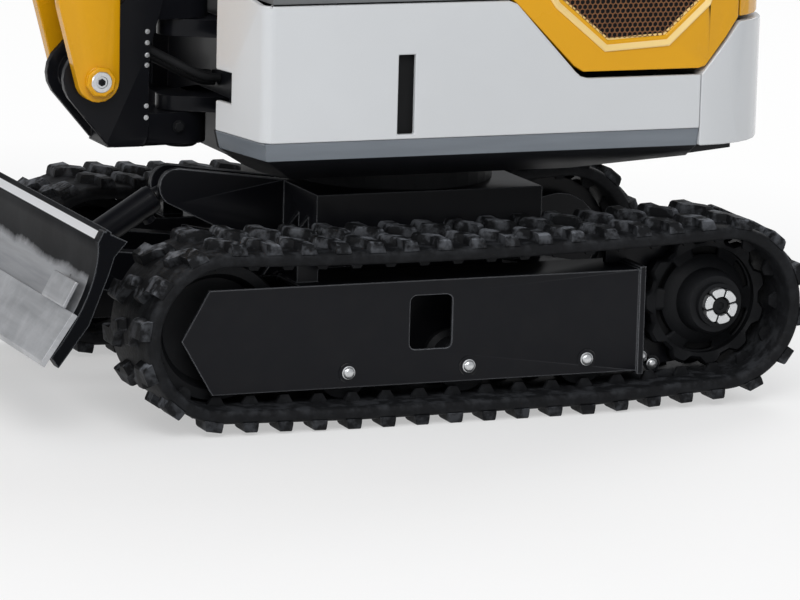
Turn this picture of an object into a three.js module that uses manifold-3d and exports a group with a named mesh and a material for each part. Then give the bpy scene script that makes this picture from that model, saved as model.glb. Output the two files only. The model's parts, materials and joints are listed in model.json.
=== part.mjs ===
// A mini excavator with a canopy: rubber tracks, a dozer blade, a slewing house,
// a swing post and a boom, arm and bucket worked by cylinders.
// Millimetres. X points forward, Y to the machine's left, Z up. The model's own X = 0 is the slew
// axis; the last lines shift it so that the origin is under the middle of its box.
import * as THREE from "three";
import { mergeVertices } from "three/addons/utils/BufferGeometryUtils.js";
import Module from "manifold-3d";

const wasm = await Module();
wasm.setup();

// ---------------------------------------------------------------- driving dimensions

const SEAT_GAP = 0.4; // between pieces that rest on each other
const PIN_GAP = 0.6; // sideways, between an eye and its ears
const BORE_GAP = 0.7; // round a rod in its barrel

const track = {
  gauge: 770,
  width: 230,
  belt: 28,
  lug: 18,
  lugShare: 0.36,
  pitches: 42,
  wheelbase: 1036,
  wheelRadius: 137,
  idlerHeight: 188,
  sprocketHeight: 196,
  sag: 12,
};
const roller = { radius: 54.5, width: 88, height: 101, pin: 15, places: [-240, 10, 260] };
const frame = {
  plate: 8,
  reach: 65,
  rearGap: 32,
  frontGap: 19,
  overIdler: 27,
  noseGap: 56,
  topGap: 51,
  skid: 38,
  bottomGap: 20,
  flange: 12,
};
const frameOuter = track.gauge / 2 + frame.reach;
const frameInner = track.gauge / 2 - frame.reach;
const frameTop = track.idlerHeight + track.wheelRadius - frame.topGap;
const frameBottom = track.idlerHeight - track.wheelRadius + frame.bottomGap;
const frameRear = -track.wheelbase / 2 + track.wheelRadius + frame.rearGap;
const frameFront = track.wheelbase / 2 + frame.overIdler;
const frameNose = track.wheelbase / 2 + track.wheelRadius - frame.noseGap;
const beamFront = track.wheelbase / 2 - track.wheelRadius - frame.frontGap;
const hub = { cap: 62, nut: 30, motor: 88, plate: 95, rim: 17, capFace: 75, nutFace: 100 };

const body = { halfLength: 240, halfWidth: 215, bottom: 215, top: 405, legInner: 120, legOuter: 330 };
const slew = { radius: 205, top: 468 };

const blade = {
  halfWidth: 500,
  hinge: [300, 232],
  armY: 140,
  armWidth: 40,
  armRadius: 32,
  top: [784, 386],
  middle: [804, 300],
  edge: [873, 173],
  thickness: 20,
  endPlate: 28,
  edgeHeight: 92,
  edgeThickness: 12,
  ear: 12,
};
const bladeCylinder = { base: [464, 400], eye: [722, 240], barrel: 30, rod: 16, eyeRadius: 27, half: 20, neck: 20, gland: 22 };

const house = {
  halfWidth: 470,
  front: 425,
  seam: -457,
  rear: -645,
  rearCorner: 173,
  panBottom: 468,
  panTop: 518,
  deckTop: 552,
  panelTop: 812,
  lowPanelTop: 658,
  floorTop: 827,
  floor: 12,
  wall: 12,
  bulkhead: -50,
  coverTop: 1010,
  weightTop: 758,
  deckInset: 2,
  panInset: 68,
  panSlopeFrom: -215,
  panRise: 32,
  tailEnd: -560,
  tailInset: 70,
  coverDepth: 30,
};
const face = { cornerX: 449, innerX: 480, innerY: 285, innerTop: 850, wallX: 380, radius: 26 };
const hoodHinge = {
  x: -544.5,
  y: 7 - house.halfWidth,
  radius: 7,
  places: [800, 940],
  height: 40,
  leaf: 20,
  hoodEnd: [-561, 41 - house.halfWidth],
  coverEnd: [-526, 18 - house.halfWidth],
};
const king = { x: 449, radius: 50, lowLug: 30, highLug: 35, lowTop: 583, highTop: 735 };

const post = {
  plate: 16,
  half: 60,
  foot: [648, 624],
  footRadius: 63,
  rear: 535,
  bottom: 488,
  top: 790,
  cylinder: [515, 874],
};
const boom = {
  knee: [42, 876],
  tip: [762, 1522],
  half: 75,
  forkPlate: 30,
  kneeRadius: 80,
  tipRadius: 48,
  footRadius: 42,
  lowerRadius: 62,
  rodEar: [-100, 960],
  cylinderAlong: 217,
  cylinderAside: 140,
  ear: 16,
  tipFork: 20,
  tipReach: 205,
};
const arm = {
  length: 950,
  angle: -78,
  half: 55,
  crank: 190,
  crankAngle: 145.8,
  rootRadius: 58,
  depthRadius: 70,
  tipRadius: 42,
  rockerAt: 780,
  rocker: 235,
  link: 242,
  cylinder: [-39, 114],
};
const bucket = {
  lever: 158,
  angle: -25,
  half: 200,
  wall: 10,
  ear: 16,
  outline: [
    [6, -80],
    [268, -66],
    [361, -126],
    [390, -225],
    [345, -338],
    [240, -416],
  ],
  middle: [170, -215],
  middleDepth: 90,
  tooth: 66,
  teeth: 4,
};
const boomCylinder = { barrel: 40, rod: 22, eyeRadius: 32, half: 28, rodHalf: 24, neck: 16, gland: 78 };
const armCylinder = { barrel: 36, rod: 20, eyeRadius: 30, half: 28, rodHalf: 24, neck: 34, gland: 34 };
const bucketCylinder = { barrel: 34, rod: 18, eyeRadius: 28, half: 24, rodHalf: 22, neck: 32, gland: 36 };

const seat = { half: 235, rear: -170, front: 270, base: 1076, cushion: 105, back: 1560, baseHalf: 240 };
const controls = {
  width: 90,
  stick: 9,
  grip: 19,
  grips: [
    [225, 1200],
    [235, 1330],
    [240, 1400],
  ],
  bladeLever: [
    [120, 1195],
    [135, 1300],
  ],
  travelPlate: [292, 352, 150],
  travel: [
    [320, 835],
    [300, 1180],
    [297, 1240],
  ],
  travelApart: 60,
  pedal: [300, 346, 140, 40],
};
const canopy = { post: 50, top: 2290, roof: 46, front: 395, rear: -560, half: 480, frontPost: 405, rearPost: -500 };

// ---------------------------------------------------------------- shapes

// A three.js geometry as a manifold solid.
function solid(geometry) {
  const bare = new THREE.BufferGeometry().setAttribute("position", geometry.getAttribute("position"));
  bare.setIndex(geometry.index);
  const merged = mergeVertices(bare, 1e-3);
  const triVerts = new Uint32Array(merged.index.array);
  return new wasm.Manifold(
    new wasm.Mesh({ numProp: 3, vertProperties: merged.attributes.position.array, triVerts }),
  );
}

function join(...pieces) {
  return pieces.reduce((sum, piece) => sum.add(piece));
}

function cut(piece, ...tools) {
  return tools.reduce((rest, tool) => rest.subtract(tool), piece);
}

function extruded(outline, depth, holes) {
  const shape = new THREE.Shape(outline.map(([a, b]) => new THREE.Vector2(a, b)));
  shape.holes = holes.map((hole) => new THREE.Path(hole.map(([a, b]) => new THREE.Vector2(a, b))));
  return new THREE.ExtrudeGeometry(shape, { depth, bevelEnabled: false });
}

// An outline in X and Z, solid from one Y to the other.
function sideways(outline, y0, y1, holes = []) {
  const geometry = extruded(outline, Math.abs(y1 - y0), holes);
  return solid(geometry.rotateX(Math.PI / 2).translate(0, Math.max(y0, y1), 0));
}

// An outline in X and Y, solid from one Z to the other.
function upright(outline, z0, z1, holes = []) {
  return solid(extruded(outline, z1 - z0, holes).translate(0, 0, z0));
}

// An outline in Y and Z, solid from one X to the other.
function lengthways(outline, x0, x1) {
  const turn = new THREE.Matrix4().makeBasis(
    new THREE.Vector3(0, 1, 0),
    new THREE.Vector3(0, 0, 1),
    new THREE.Vector3(1, 0, 0),
  );
  return solid(extruded(outline, x1 - x0, []).applyMatrix4(turn).translate(x0, 0, 0));
}

function block(x0, x1, y0, y1, z0, z1) {
  const geometry = new THREE.BoxGeometry(x1 - x0, Math.abs(y1 - y0), z1 - z0);
  return solid(geometry.translate((x0 + x1) / 2, (y0 + y1) / 2, (z0 + z1) / 2));
}

// A round bar from one point to another.
function bar(from, to, radius, sides = 16) {
  const start = new THREE.Vector3(...from);
  const along = new THREE.Vector3(...to).sub(start);
  const geometry = new THREE.CylinderGeometry(radius, radius, along.length(), sides);
  const turn = new THREE.Quaternion().setFromUnitVectors(
    new THREE.Vector3(0, 1, 0),
    along.clone().normalize(),
  );
  return solid(geometry.applyQuaternion(turn).translate(...start.addScaledVector(along, 0.5).toArray()));
}

// A disc across the machine, centred at x and z.
function disc([x, z], radius, y0, y1, sides = 24) {
  return bar([x, Math.min(y0, y1), z], [x, Math.max(y0, y1), z], radius, sides);
}

// The convex outline round a set of circles, each given as x, z and radius.
function around(circles, steps = 20) {
  const points = circles.flatMap(([x, z, r]) =>
    Array.from({ length: steps }, (_, i) => {
      const a = (2 * Math.PI * i) / steps;
      return [x + r * Math.cos(a), z + r * Math.sin(a)];
    }),
  );
  points.sort((p, q) => p[0] - q[0] || p[1] - q[1]);
  const turns = (o, p, q) => (p[0] - o[0]) * (q[1] - o[1]) - (p[1] - o[1]) * (q[0] - o[0]);
  const chain = (list) => {
    const kept = [];
    for (const point of list) {
      while (kept.length > 1 && turns(kept.at(-2), kept.at(-1), point) <= 1e-6) kept.pop();
      kept.push(point);
    }
    return kept.slice(0, -1);
  };
  return [...chain(points), ...chain([...points].reverse())];
}

// A plate whose outline goes round circles, from one Y to the other.
function strap(circles, y0, y1) {
  return sideways(around(circles), y0, y1);
}

// The same plate on both sides of the middle.
function straps(circles, inner, outer) {
  return [strap(circles, inner, outer), strap(circles, -outer, -inner)];
}

// Where two circles meet, on the side of the larger second coordinate.
function meet(a, ra, b, rb) {
  const dx = b[0] - a[0];
  const dz = b[1] - a[1];
  const apart = Math.hypot(dx, dz);
  const along = (ra * ra - rb * rb + apart * apart) / (2 * apart);
  const aside = Math.sqrt(ra * ra - along * along);
  const ends = [-1, 1].map((s) => [
    a[0] + (along * dx - s * aside * dz) / apart,
    a[1] + (along * dz + s * aside * dx) / apart,
  ]);
  return ends[0][1] > ends[1][1] ? ends[0] : ends[1];
}

const degrees = THREE.MathUtils.degToRad;
const polar = (radius, angle) => [radius * Math.cos(degrees(angle)), radius * Math.sin(degrees(angle))];
const plus = (a, b) => [a[0] + b[0], a[1] + b[1]];
const minus = (a, b) => [a[0] - b[0], a[1] - b[1]];
const scale = (a, k) => [a[0] * k, a[1] * k];

// ---------------------------------------------------------------- the scene graph

const looks = {
  black: { color: 0x1c1e22, roughness: 0.45, metalness: 0.1 },
  rubber: { color: 0x17181a, roughness: 0.9, metalness: 0 },
  white: { color: 0xc8cbce, roughness: 0.35, metalness: 0.05 },
  yellow: { color: 0xd79b0f, roughness: 0.35, metalness: 0.05 },
  steel: { color: 0xa8abae, roughness: 0.3, metalness: 0.9 },
  cast: { color: 0x35383c, roughness: 0.7, metalness: 0.4 },
  mesh: { color: 0x3a2a1c, roughness: 0.6, metalness: 0.3 },
  vinyl: { color: 0x1f2022, roughness: 0.8, metalness: 0 },
  mat: { color: 0x55585b, roughness: 0.8, metalness: 0 },
};

// A group whose origin is at x and z, with its X axis turned up by an angle in degrees.
function frameAt(name, parent, [x, z], angle = 0) {
  const group = new THREE.Group();
  group.name = name;
  group.position.set(x, 0, z);
  group.rotation.y = -degrees(angle);
  parent.add(group);
  return group;
}

function put(parent, name, piece, look) {
  const { vertProperties, triVerts } = piece.getMesh();
  const geometry = new THREE.BufferGeometry()
    .setAttribute("position", new THREE.BufferAttribute(vertProperties, 3))
    .setIndex(new THREE.BufferAttribute(triVerts, 1));
  geometry.computeVertexNormals();
  const mesh = new THREE.Mesh(geometry, new THREE.MeshStandardMaterial(looks[look]));
  mesh.name = name;
  parent.add(mesh);
}

// ---------------------------------------------------------------- undercarriage

const idler = [track.wheelbase / 2, track.idlerHeight];
const sprocket = [-track.wheelbase / 2, track.sprocketHeight];

// The closed line at a distance outside the wheels, with the top run sagging.
function loop(outside) {
  const floor = track.lug + track.belt - outside;
  const low = roller.height - floor;
  const wheels = [
    [roller.places[0], roller.height, low],
    [roller.places.at(-1), roller.height, low],
    [...idler, track.wheelRadius + outside],
    [...sprocket, track.wheelRadius + outside],
  ];
  const leave = wheels.map(([x, z, r], i) => {
    const [nx, nz, nr] = wheels[(i + 1) % wheels.length];
    return Math.atan2(nz - z, nx - x) - Math.acos((r - nr) / Math.hypot(nx - x, nz - z));
  });
  const path = new THREE.Path();
  wheels.forEach(([x, z, r], i) => {
    const arrive = leave[(i + wheels.length - 1) % wheels.length];
    if (i === wheels.length - 1) {
      const from = path.currentPoint;
      const to = [x + r * Math.cos(arrive), z + r * Math.sin(arrive)];
      path.quadraticCurveTo((from.x + to[0]) / 2, (from.y + to[1]) / 2 - 2 * track.sag, ...to);
    }
    path.absarc(x, z, r, arrive, leave[i], false);
  });
  path.closePath();
  return path;
}

function beltOutline() {
  const belt = loop(track.belt);
  const crest = loop(track.belt + track.lug);
  return Array.from({ length: track.pitches }, (_, i) => {
    const share = (s) => (i + s) / track.pitches;
    const points = [
      belt.getPointAt(share(0)),
      crest.getPointAt(share(0.06)),
      crest.getPointAt(share(track.lugShare - 0.06)),
      belt.getPointAt(share(track.lugShare)),
    ];
    return points.map((p) => [p.x, p.y]);
  }).flat();
}

function trackBelt(side) {
  const hole = loop(0).getPoints(12).map((p) => [p.x, p.y]);
  const middle = (side * track.gauge) / 2;
  return sideways(beltOutline(), middle - track.width / 2, middle + track.width / 2, [hole]);
}

function trackFrame(side) {
  const middle = track.gauge / 2;
  const outline = [
    [frameRear, frameTop],
    [frameRear, frameBottom],
    [frameFront - 9, frameBottom],
    [frameNose, (frameTop + frameBottom) / 2 + 6],
    [frameFront, frameTop],
  ];
  const window = around([
    [59, 151, 12],
    [122, 151, 12],
    [59, 232, 12],
    [122, 232, 12],
  ]);
  const outer = sideways(outline, side * (frameOuter - frame.plate), side * frameOuter, [window]);
  const inner = sideways(outline, side * frameInner, side * (frameInner + frame.plate));
  const lid = block(
    frameRear,
    beamFront,
    side * (frameInner + 2),
    side * (frameOuter - 2),
    frameTop - frame.plate,
    frameTop,
  );
  const skid = block(beamFront - 50, beamFront - 6, side * (middle - 30), side * (middle + 30), frameTop - 2, frameTop + frame.skid);
  const flange = block(
    frameRear - frame.flange,
    frameRear + 1,
    side * (frameInner - 2),
    side * (frameOuter + 5),
    frameBottom - 6,
    frameTop + 6,
  );
  const ring = strap(
    [
      [...sprocket, hub.plate],
      [frameRear - 15, 170, 90],
    ],
    side * (frameInner - 2),
    side * (frameInner + 10),
  );
  return join(outer, inner, lid, skid, flange, ring);
}

function buildUndercarriage(parent) {
  for (const [name, side] of [
    ["left", 1],
    ["right", -1],
  ]) {
    const inside = frameInner + frame.plate + SEAT_GAP;
    const outside = frameOuter - frame.plate - SEAT_GAP;
    const wheel = track.wheelRadius - 1.3;
    const middle = track.gauge / 2;
    put(parent, `track_${name}`, trackBelt(side), "rubber");
    put(parent, `track_frame_${name}`, trackFrame(side), "black");
    const idlerWheel = join(
      disc(idler, wheel, side * (middle - 33), side * (middle + 33), 36),
      disc(idler, 24, side * inside, side * outside),
    );
    put(parent, `idler_${name}`, idlerWheel, "cast");
    const motorFace = frameInner + 10 + SEAT_GAP;
    const motor = disc(sprocket, hub.motor, side * motorFace, side * (middle - hub.rim));
    put(parent, `travel_motor_${name}`, motor, "cast");
    const drive = join(
      disc(sprocket, wheel, side * (middle - hub.rim + SEAT_GAP), side * (middle + hub.rim), 36),
      disc(sprocket, hub.cap, side * (middle + hub.rim - 2), side * (middle + hub.capFace)),
      disc(sprocket, hub.nut, side * (middle + hub.capFace - 2), side * (middle + hub.nutFace), 6),
    );
    put(parent, `sprocket_${name}`, drive, "cast");
    roller.places.forEach((x, i) => {
      const place = [x, roller.height];
      const wheels = join(
        disc(place, roller.radius, side * (middle - roller.width / 2), side * (middle + roller.width / 2)),
        disc(place, roller.pin, side * inside, side * outside, 12),
      );
      put(parent, `roller_${name}_${i + 1}`, wheels, "cast");
    });
  }
  put(parent, "car_body", carBody(), "black");
  put(parent, "slew_ring", bar([0, 0, body.top + SEAT_GAP], [0, 0, slew.top], slew.radius, 40), "cast");
}

function carBody() {
  const { halfLength, halfWidth, bottom, top, legInner, legOuter } = body;
  const core = block(-halfLength, halfLength, -halfWidth, halfWidth, bottom, top);
  const legs = [-1, 1].flatMap((side) =>
    [-1, 1].map((end) => {
      const plan = [
        [end * legInner, side * (halfWidth - 60)],
        [end * (halfLength - 5), side * (halfWidth - 60)],
        [end * legOuter, side * (frameInner - 2 - SEAT_GAP)],
        [end * (legOuter - 110), side * (frameInner - 2 - SEAT_GAP)],
      ];
      return upright(side * end > 0 ? plan : plan.reverse(), bottom - 20, frameTop - 14);
    }),
  );
  const hingeArms = [
    [...blade.hinge, blade.armRadius + 2],
    [halfLength - 30, bottom + 40, 40],
    [halfLength - 30, top - 60, 30],
  ];
  const reach = blade.armWidth / 2 + PIN_GAP;
  const ears = [-1, 1].flatMap((side) =>
    [-1, 1].map((edge) => {
      const near = side * blade.armY + edge * reach;
      return strap(hingeArms, near, near + edge * blade.ear);
    }),
  );
  const nose = straps(
    [
      [...bladeCylinder.base, 38],
      [halfLength - 30, top - 40, 38],
      [halfLength - 30, bottom + 60, 38],
    ],
    bladeCylinder.half + PIN_GAP,
    bladeCylinder.half + PIN_GAP + 14,
  );
  return join(core, ...legs, ...ears, ...nose);
}

// ---------------------------------------------------------------- cylinders

// A cylinder along its own X axis from its base pin, with a barrel open at the far end.
function barrelPiece(size, length) {
  const { eyeRadius, half, neck } = size;
  const tube = bar([eyeRadius + neck, 0, 0], [length, 0, 0], size.barrel, 20);
  const shank = bar([eyeRadius * 0.7, 0, 0], [eyeRadius + neck + 1, 0, 0], half - 4, 16);
  const bore = bar([eyeRadius + neck + 5, 0, 0], [length + 5, 0, 0], size.rod + BORE_GAP, 12);
  return cut(join(disc([0, 0], eyeRadius, -half, half, 20), shank, tube), bore);
}

function rodPiece(size, from, to) {
  const half = size.rodHalf ?? size.half;
  return join(bar([from, 0, 0], [to - 5, 0, 0], size.rod, 12), disc([to, 0], size.eyeRadius, -half, half, 20));
}

function buildCylinder(parent, name, base, eye, size, stroke) {
  const reach = minus(eye, base);
  const length = Math.hypot(...reach);
  const group = frameAt(name, parent, base, THREE.MathUtils.radToDeg(Math.atan2(reach[1], reach[0])));
  const shortest = length + Math.min(0, stroke);
  const barrelEnd = shortest - size.eyeRadius - size.gland;
  const rodStart = length - shortest + size.eyeRadius + size.neck + 16;
  put(group, `${name}_barrel`, barrelPiece(size, barrelEnd), "black");
  put(group, `${name}_rod`, rodPiece(size, rodStart, length), "steel");
}

// ---------------------------------------------------------------- blade

function buildBlade(parent) {
  const group = frameAt("blade_group", parent, [0, 0]);
  const curve = new THREE.QuadraticBezierCurve(
    new THREE.Vector2(...blade.top),
    new THREE.Vector2(2 * blade.middle[0] - (blade.top[0] + blade.edge[0]) / 2, blade.middle[1] - 10),
    new THREE.Vector2(...blade.edge),
  );
  const steps = 10;
  const front = Array.from({ length: steps + 1 }, (_, i) => curve.getPoint(i / steps));
  const back = Array.from({ length: steps + 1 }, (_, i) => {
    const along = curve.getTangent(i / steps);
    return curve.getPoint(i / steps).add(new THREE.Vector2(along.y, -along.x).multiplyScalar(blade.thickness));
  });
  const profile = [...front, ...back.reverse()].map((p) => [p.x, p.y]);
  const strip = [blade.top, [766, 410], [758, 404], [762, 376]];
  const across = (outline) => sideways(outline, -blade.halfWidth, blade.halfWidth);
  const board = join(across(profile), across(strip));
  const endOutline = [
    [726, 385],
    [751, 357],
    [762, 323],
    [799, 230],
    [858, 152],
    ...front.toReversed().map((p) => [p.x, p.y]),
    [773, 407],
  ];
  const ends = [-1, 1].map((side) =>
    sideways(endOutline, side * (blade.halfWidth - blade.endPlate), side * blade.halfWidth),
  );
  const beam = strap(
    [
      [766, 330, 20],
      [786, 258, 26],
    ],
    -blade.halfWidth + 120,
    blade.halfWidth - 120,
  );
  const arms = [-1, 1].map((side) =>
    strap(
      [
        [...blade.hinge, blade.armRadius],
        [548, 232, 30],
        [762, 285, 32],
      ],
      side * blade.armY - blade.armWidth / 2,
      side * blade.armY + blade.armWidth / 2,
    ),
  );
  const lugs = straps(
    [
      [...bladeCylinder.eye, 30],
      [764, 262, 28],
    ],
    bladeCylinder.half + PIN_GAP,
    bladeCylinder.half + PIN_GAP + 14,
  );
  const edgeBack = curve.getPointAt(1 - blade.edgeHeight / curve.getLength());
  const down = curve.getPoint(1).sub(edgeBack).normalize();
  const outward = new THREE.Vector2(-down.y, down.x);
  const edgeOutline = [
    [0, SEAT_GAP],
    [blade.edgeHeight + 22, SEAT_GAP],
    [blade.edgeHeight + 14, SEAT_GAP + blade.edgeThickness],
    [0, SEAT_GAP + blade.edgeThickness],
  ].map(([along, out]) => {
    const p = edgeBack.clone().addScaledVector(down, along).addScaledVector(outward, out);
    return [p.x, p.y];
  });
  put(group, "blade", join(board, ...ends, beam, ...arms, ...lugs), "black");
  const edge = sideways(edgeOutline, -blade.halfWidth, blade.halfWidth);
  put(group, "cutting_edge", edge, "steel");
  buildCylinder(parent, "blade_cylinder", bladeCylinder.base, bladeCylinder.eye, bladeCylinder, -20);
}

// ---------------------------------------------------------------- house

// The plan outline of the rounded tail, from the side panels' seam back, inset from the
// counterweight's face.
function tailPlan(inset) {
  const seamX = house.seam - SEAT_GAP;
  const r = house.rearCorner - inset;
  const cx = house.rear + house.rearCorner;
  const cy = house.halfWidth - house.rearCorner;
  const steps = 7;
  const arc = (from) =>
    Array.from({ length: steps + 1 }, (_, i) => {
      const a = from + (Math.PI / 2) * (i / steps);
      return [cx + r * Math.cos(a), Math.sign(Math.sin(from + 0.1)) * cy + r * Math.sin(a)];
    });
  return [
    [seamX, house.halfWidth - inset],
    ...arc(Math.PI / 2),
    ...arc(Math.PI),
    [seamX, -house.halfWidth + inset],
  ];
}

// The deck's plan, with its front corners cut as the side panels' faces are, inset from them.
function deckPlan(inset) {
  const side = house.halfWidth - inset;
  const half = [
    [house.seam, side],
    [face.cornerX - inset, side],
    [face.innerX - inset, face.innerY],
  ];
  return [...half, ...half.toReversed().map(([x, y]) => [x, -y])];
}

// A solid whose plan shrinks from one inset and height to the next.
function dished(layers) {
  const slices = layers.map(([inset, z]) => upright(deckPlan(inset), z, z + 0.1));
  return wasm.Manifold.hull(slices);
}

function houseDeck() {
  const { halfWidth, front, seam, panBottom, panTop, deckTop, deckInset, panInset } = house;
  const { panSlopeFrom, panRise, tailEnd, tailInset } = house;
  const rail = dished([
    [deckInset, deckTop - 0.1],
    [deckInset + 8, panTop],
  ]);
  const pan = dished([
    [deckInset + 8, panTop],
    [panInset, panBottom + 22],
    [panInset + 24, panBottom + SEAT_GAP],
  ]);
  const tailHalf = halfWidth - tailInset;
  const tail = block(tailEnd, seam + 5, -tailHalf, tailHalf, panBottom + SEAT_GAP, panTop - 1);
  const underTail = sideways(
    [
      [tailEnd - 1, panBottom],
      [panSlopeFrom, panBottom],
      [tailEnd - 1, panBottom + panRise],
    ],
    -halfWidth,
    halfWidth,
  );
  const recess = block(front, face.innerX + 9, -face.innerY + 14, face.innerY - 14, 400, 600);
  const notch = block(face.wallX, front + 50, -190, 190, 400, 600);
  return cut(join(rail, pan, tail), underTail, recess, notch);
}

function frontFrame() {
  const bottom = house.deckTop + SEAT_GAP;
  const top = house.floorTop - house.floor - SEAT_GAP;
  const inner = face.innerY - SEAT_GAP;
  const wall = block(face.wallX - 12, face.wallX, -inner, inner, bottom, top);
  const window = block(face.wallX + 34, king.x + 21, -400, 400, 560, 705);
  const returns = [-1, 1].map((side) =>
    block(face.wallX - 1, face.innerX - 12, side * (inner - 12), side * inner, bottom, top - 14),
  );
  const lug = (z1, thick) =>
    upright(
      around([
        [king.x, 0, king.radius],
        [face.wallX - 2, 90, 4],
        [face.wallX - 2, -90, 4],
      ]),
      z1 - thick,
      z1,
    );
  return join(
    wall,
    ...returns.map((piece) => cut(piece, window)),
    lug(king.lowTop, king.lowLug),
    lug(king.highTop, king.highLug),
  );
}

function sidePanel(side) {
  const { halfWidth, wall, seam, deckTop, panelTop, lowPanelTop } = house;
  const bottom = deckTop + SEAT_GAP;
  const bend = new THREE.Vector2(face.innerX - face.cornerX, face.innerY - halfWidth);
  const turn = Math.atan2(bend.y, bend.x);
  const r = face.radius;
  const back = r * Math.tan((Math.PI / 2 - Math.abs(turn + Math.PI / 2)) / 2 + 0.0001);
  const cx = face.cornerX - back;
  const steps = 5;
  const corner = (radius) =>
    Array.from({ length: steps + 1 }, (_, i) => {
      const a = Math.PI / 2 + (turn * i) / steps;
      return [cx + radius * Math.cos(a), halfWidth - r + radius * Math.sin(a)];
    });
  const toward = bend.clone().normalize();
  const inX = face.innerX - wall * -toward.y;
  const plan = [
    [seam + SEAT_GAP, halfWidth],
    [seam + SEAT_GAP, halfWidth - wall],
    ...corner(r - wall),
    [inX, face.innerY],
    [face.innerX, face.innerY],
    ...corner(r).reverse(),
  ].map(([x, y]) => [x, side * y]);
  const shell = upright(side > 0 ? plan : plan.reverse(), bottom, face.innerTop);
  const aboveSide = sideways(
    [
      [seam - 9, lowPanelTop],
      [-214, lowPanelTop],
      [-200, lowPanelTop + 4],
      [-189, lowPanelTop + 13],
      [-62, panelTop - 6],
      [-46, panelTop],
      [cx + 8, panelTop],
      [cx + 8, 999],
      [seam - 9, 999],
    ],
    side * (halfWidth - 30),
    side * (halfWidth + 30),
  );
  const slope = [
    [side * (halfWidth + 9), panelTop],
    [side * (halfWidth - 30), panelTop + 1],
    [side * (face.innerY - 9), face.innerTop - 2],
    [side * (face.innerY - 9), 999],
    [side * (halfWidth + 9), 999],
  ];
  const aboveFront = lengthways(side > 0 ? slope.reverse() : slope, cx - 9, face.innerX + 20);
  const slot = block(145, 179, side * (halfWidth - 30), side * (halfWidth + 20), 562, 714);
  const notch = block(face.innerX - 40, face.innerX + 9, side * (face.innerY - 15), side * (face.innerY + 58), 611, 670);
  return cut(shell, aboveSide, aboveFront, slot, notch);
}

function counterweight() {
  const { seam, panTop, weightTop, lowPanelTop, halfWidth } = house;
  const mass = upright(tailPlan(0), panTop, weightTop);
  const bayHalf = halfWidth - 40;
  const bay = block(house.tailEnd, seam + 9, -bayHalf, bayHalf, panTop, weightTop + 9);
  const underHalf = halfWidth - house.tailInset + 5;
  const under = block(house.tailEnd - 5, seam + 9, -underHalf, underHalf, panTop - 9, panTop + SEAT_GAP);
  const slope = sideways(
    [
      [seam + 9, lowPanelTop],
      [seam, lowPanelTop],
      [seam - 86, weightTop],
      [seam - 86, weightTop + 9],
      [seam + 9, weightTop + 9],
    ],
    -halfWidth - 9,
    halfWidth + 9,
  );
  return cut(mass, bay, under, slope);
}

const grilleOutline = [
  [-158, 811],
  [-256, 730],
  [-377, 737],
  [-453, 806],
  [-470, 850],
  [-400, 945],
  [-200, 945],
  [-130, 850],
];

function scaled(outline, share) {
  const middle = outline.reduce(plus).map((v) => v / outline.length);
  return outline.map(([x, z]) => [middle[0] + (x - middle[0]) * share, middle[1] + (z - middle[1]) * share]);
}

function buildEngineBay(parent) {
  const { halfWidth, bulkhead, coverTop, coverDepth, deckTop, lowPanelTop, panelTop } = house;
  const within = join(
    upright(tailPlan(3), deckTop, coverTop + 99),
    block(house.seam - 5, 0, -halfWidth + 3, halfWidth - 3, deckTop, coverTop + 99),
  );
  const outline = [
    [bulkhead + 22, coverTop],
    [-541, coverTop],
    [-541, house.weightTop + 8],
    [-466, lowPanelTop + 16],
    [-452, lowPanelTop + 12],
    [-206, lowPanelTop + 12],
    [-186, lowPanelTop + 24],
    [bulkhead + 10, panelTop + 16],
    [bulkhead + 22, panelTop + 50],
  ];
  for (const [name, side] of [
    ["left", 1],
    ["right", -1],
  ]) {
    const plate = sideways(outline, side * (halfWidth - coverDepth), side * (halfWidth - 3), [grilleOutline]);
    const leaves = hoodHinge.places.map((z) => {
      const low = z + hoodHinge.height + SEAT_GAP;
      return hingeLeaf(hoodHinge.coverEnd, low, low + hoodHinge.leaf);
    });
    const cover = plate.intersect(within);
    put(parent, `engine_cover_${name}`, side < 0 ? join(cover, ...leaves) : cover, "yellow");
    const grille = sideways(scaled(grilleOutline, 0.995), side * (halfWidth - 16), side * (halfWidth - 8));
    put(parent, `grille_${name}`, grille, "mesh");
  }
  const wall = block(
    bulkhead - 12,
    bulkhead - SEAT_GAP,
    -halfWidth + coverDepth + SEAT_GAP,
    halfWidth - coverDepth - SEAT_GAP,
    deckTop + SEAT_GAP,
    coverTop,
  );
  put(parent, "bulkhead", wall, "black");
  const lid = block(-541, bulkhead + 22, -halfWidth + 3, halfWidth - 3, coverTop + SEAT_GAP, coverTop + 14);
  put(parent, "engine_top_cover", lid.intersect(within), "yellow");
  put(parent, "engine_block", block(-480, -120, -220, 220, deckTop + SEAT_GAP, 930), "cast");
}

function rearHood() {
  const bottom = house.weightTop + 8;
  const top = house.coverTop + 14;
  const outer = upright(tailPlan(8), bottom, top);
  const inner = upright(tailPlan(22), bottom - 9, top - 14);
  const ahead = block(-548, 0, -999, 999, 0, 9999);
  const knuckles = hoodHinge.places.map((z) => hingeLeaf(hoodHinge.hoodEnd, z, z + hoodHinge.height));
  return join(cut(outer, inner, ahead), ...knuckles);
}

// Half of a hinge: its knuckle and the leaf that reaches to a point of the panel.
function hingeLeaf([x, y], z0, z1) {
  return upright(
    around([
      [hoodHinge.x, hoodHinge.y, hoodHinge.radius],
      [x, y, 3],
    ]),
    z0,
    z1,
  );
}

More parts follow.
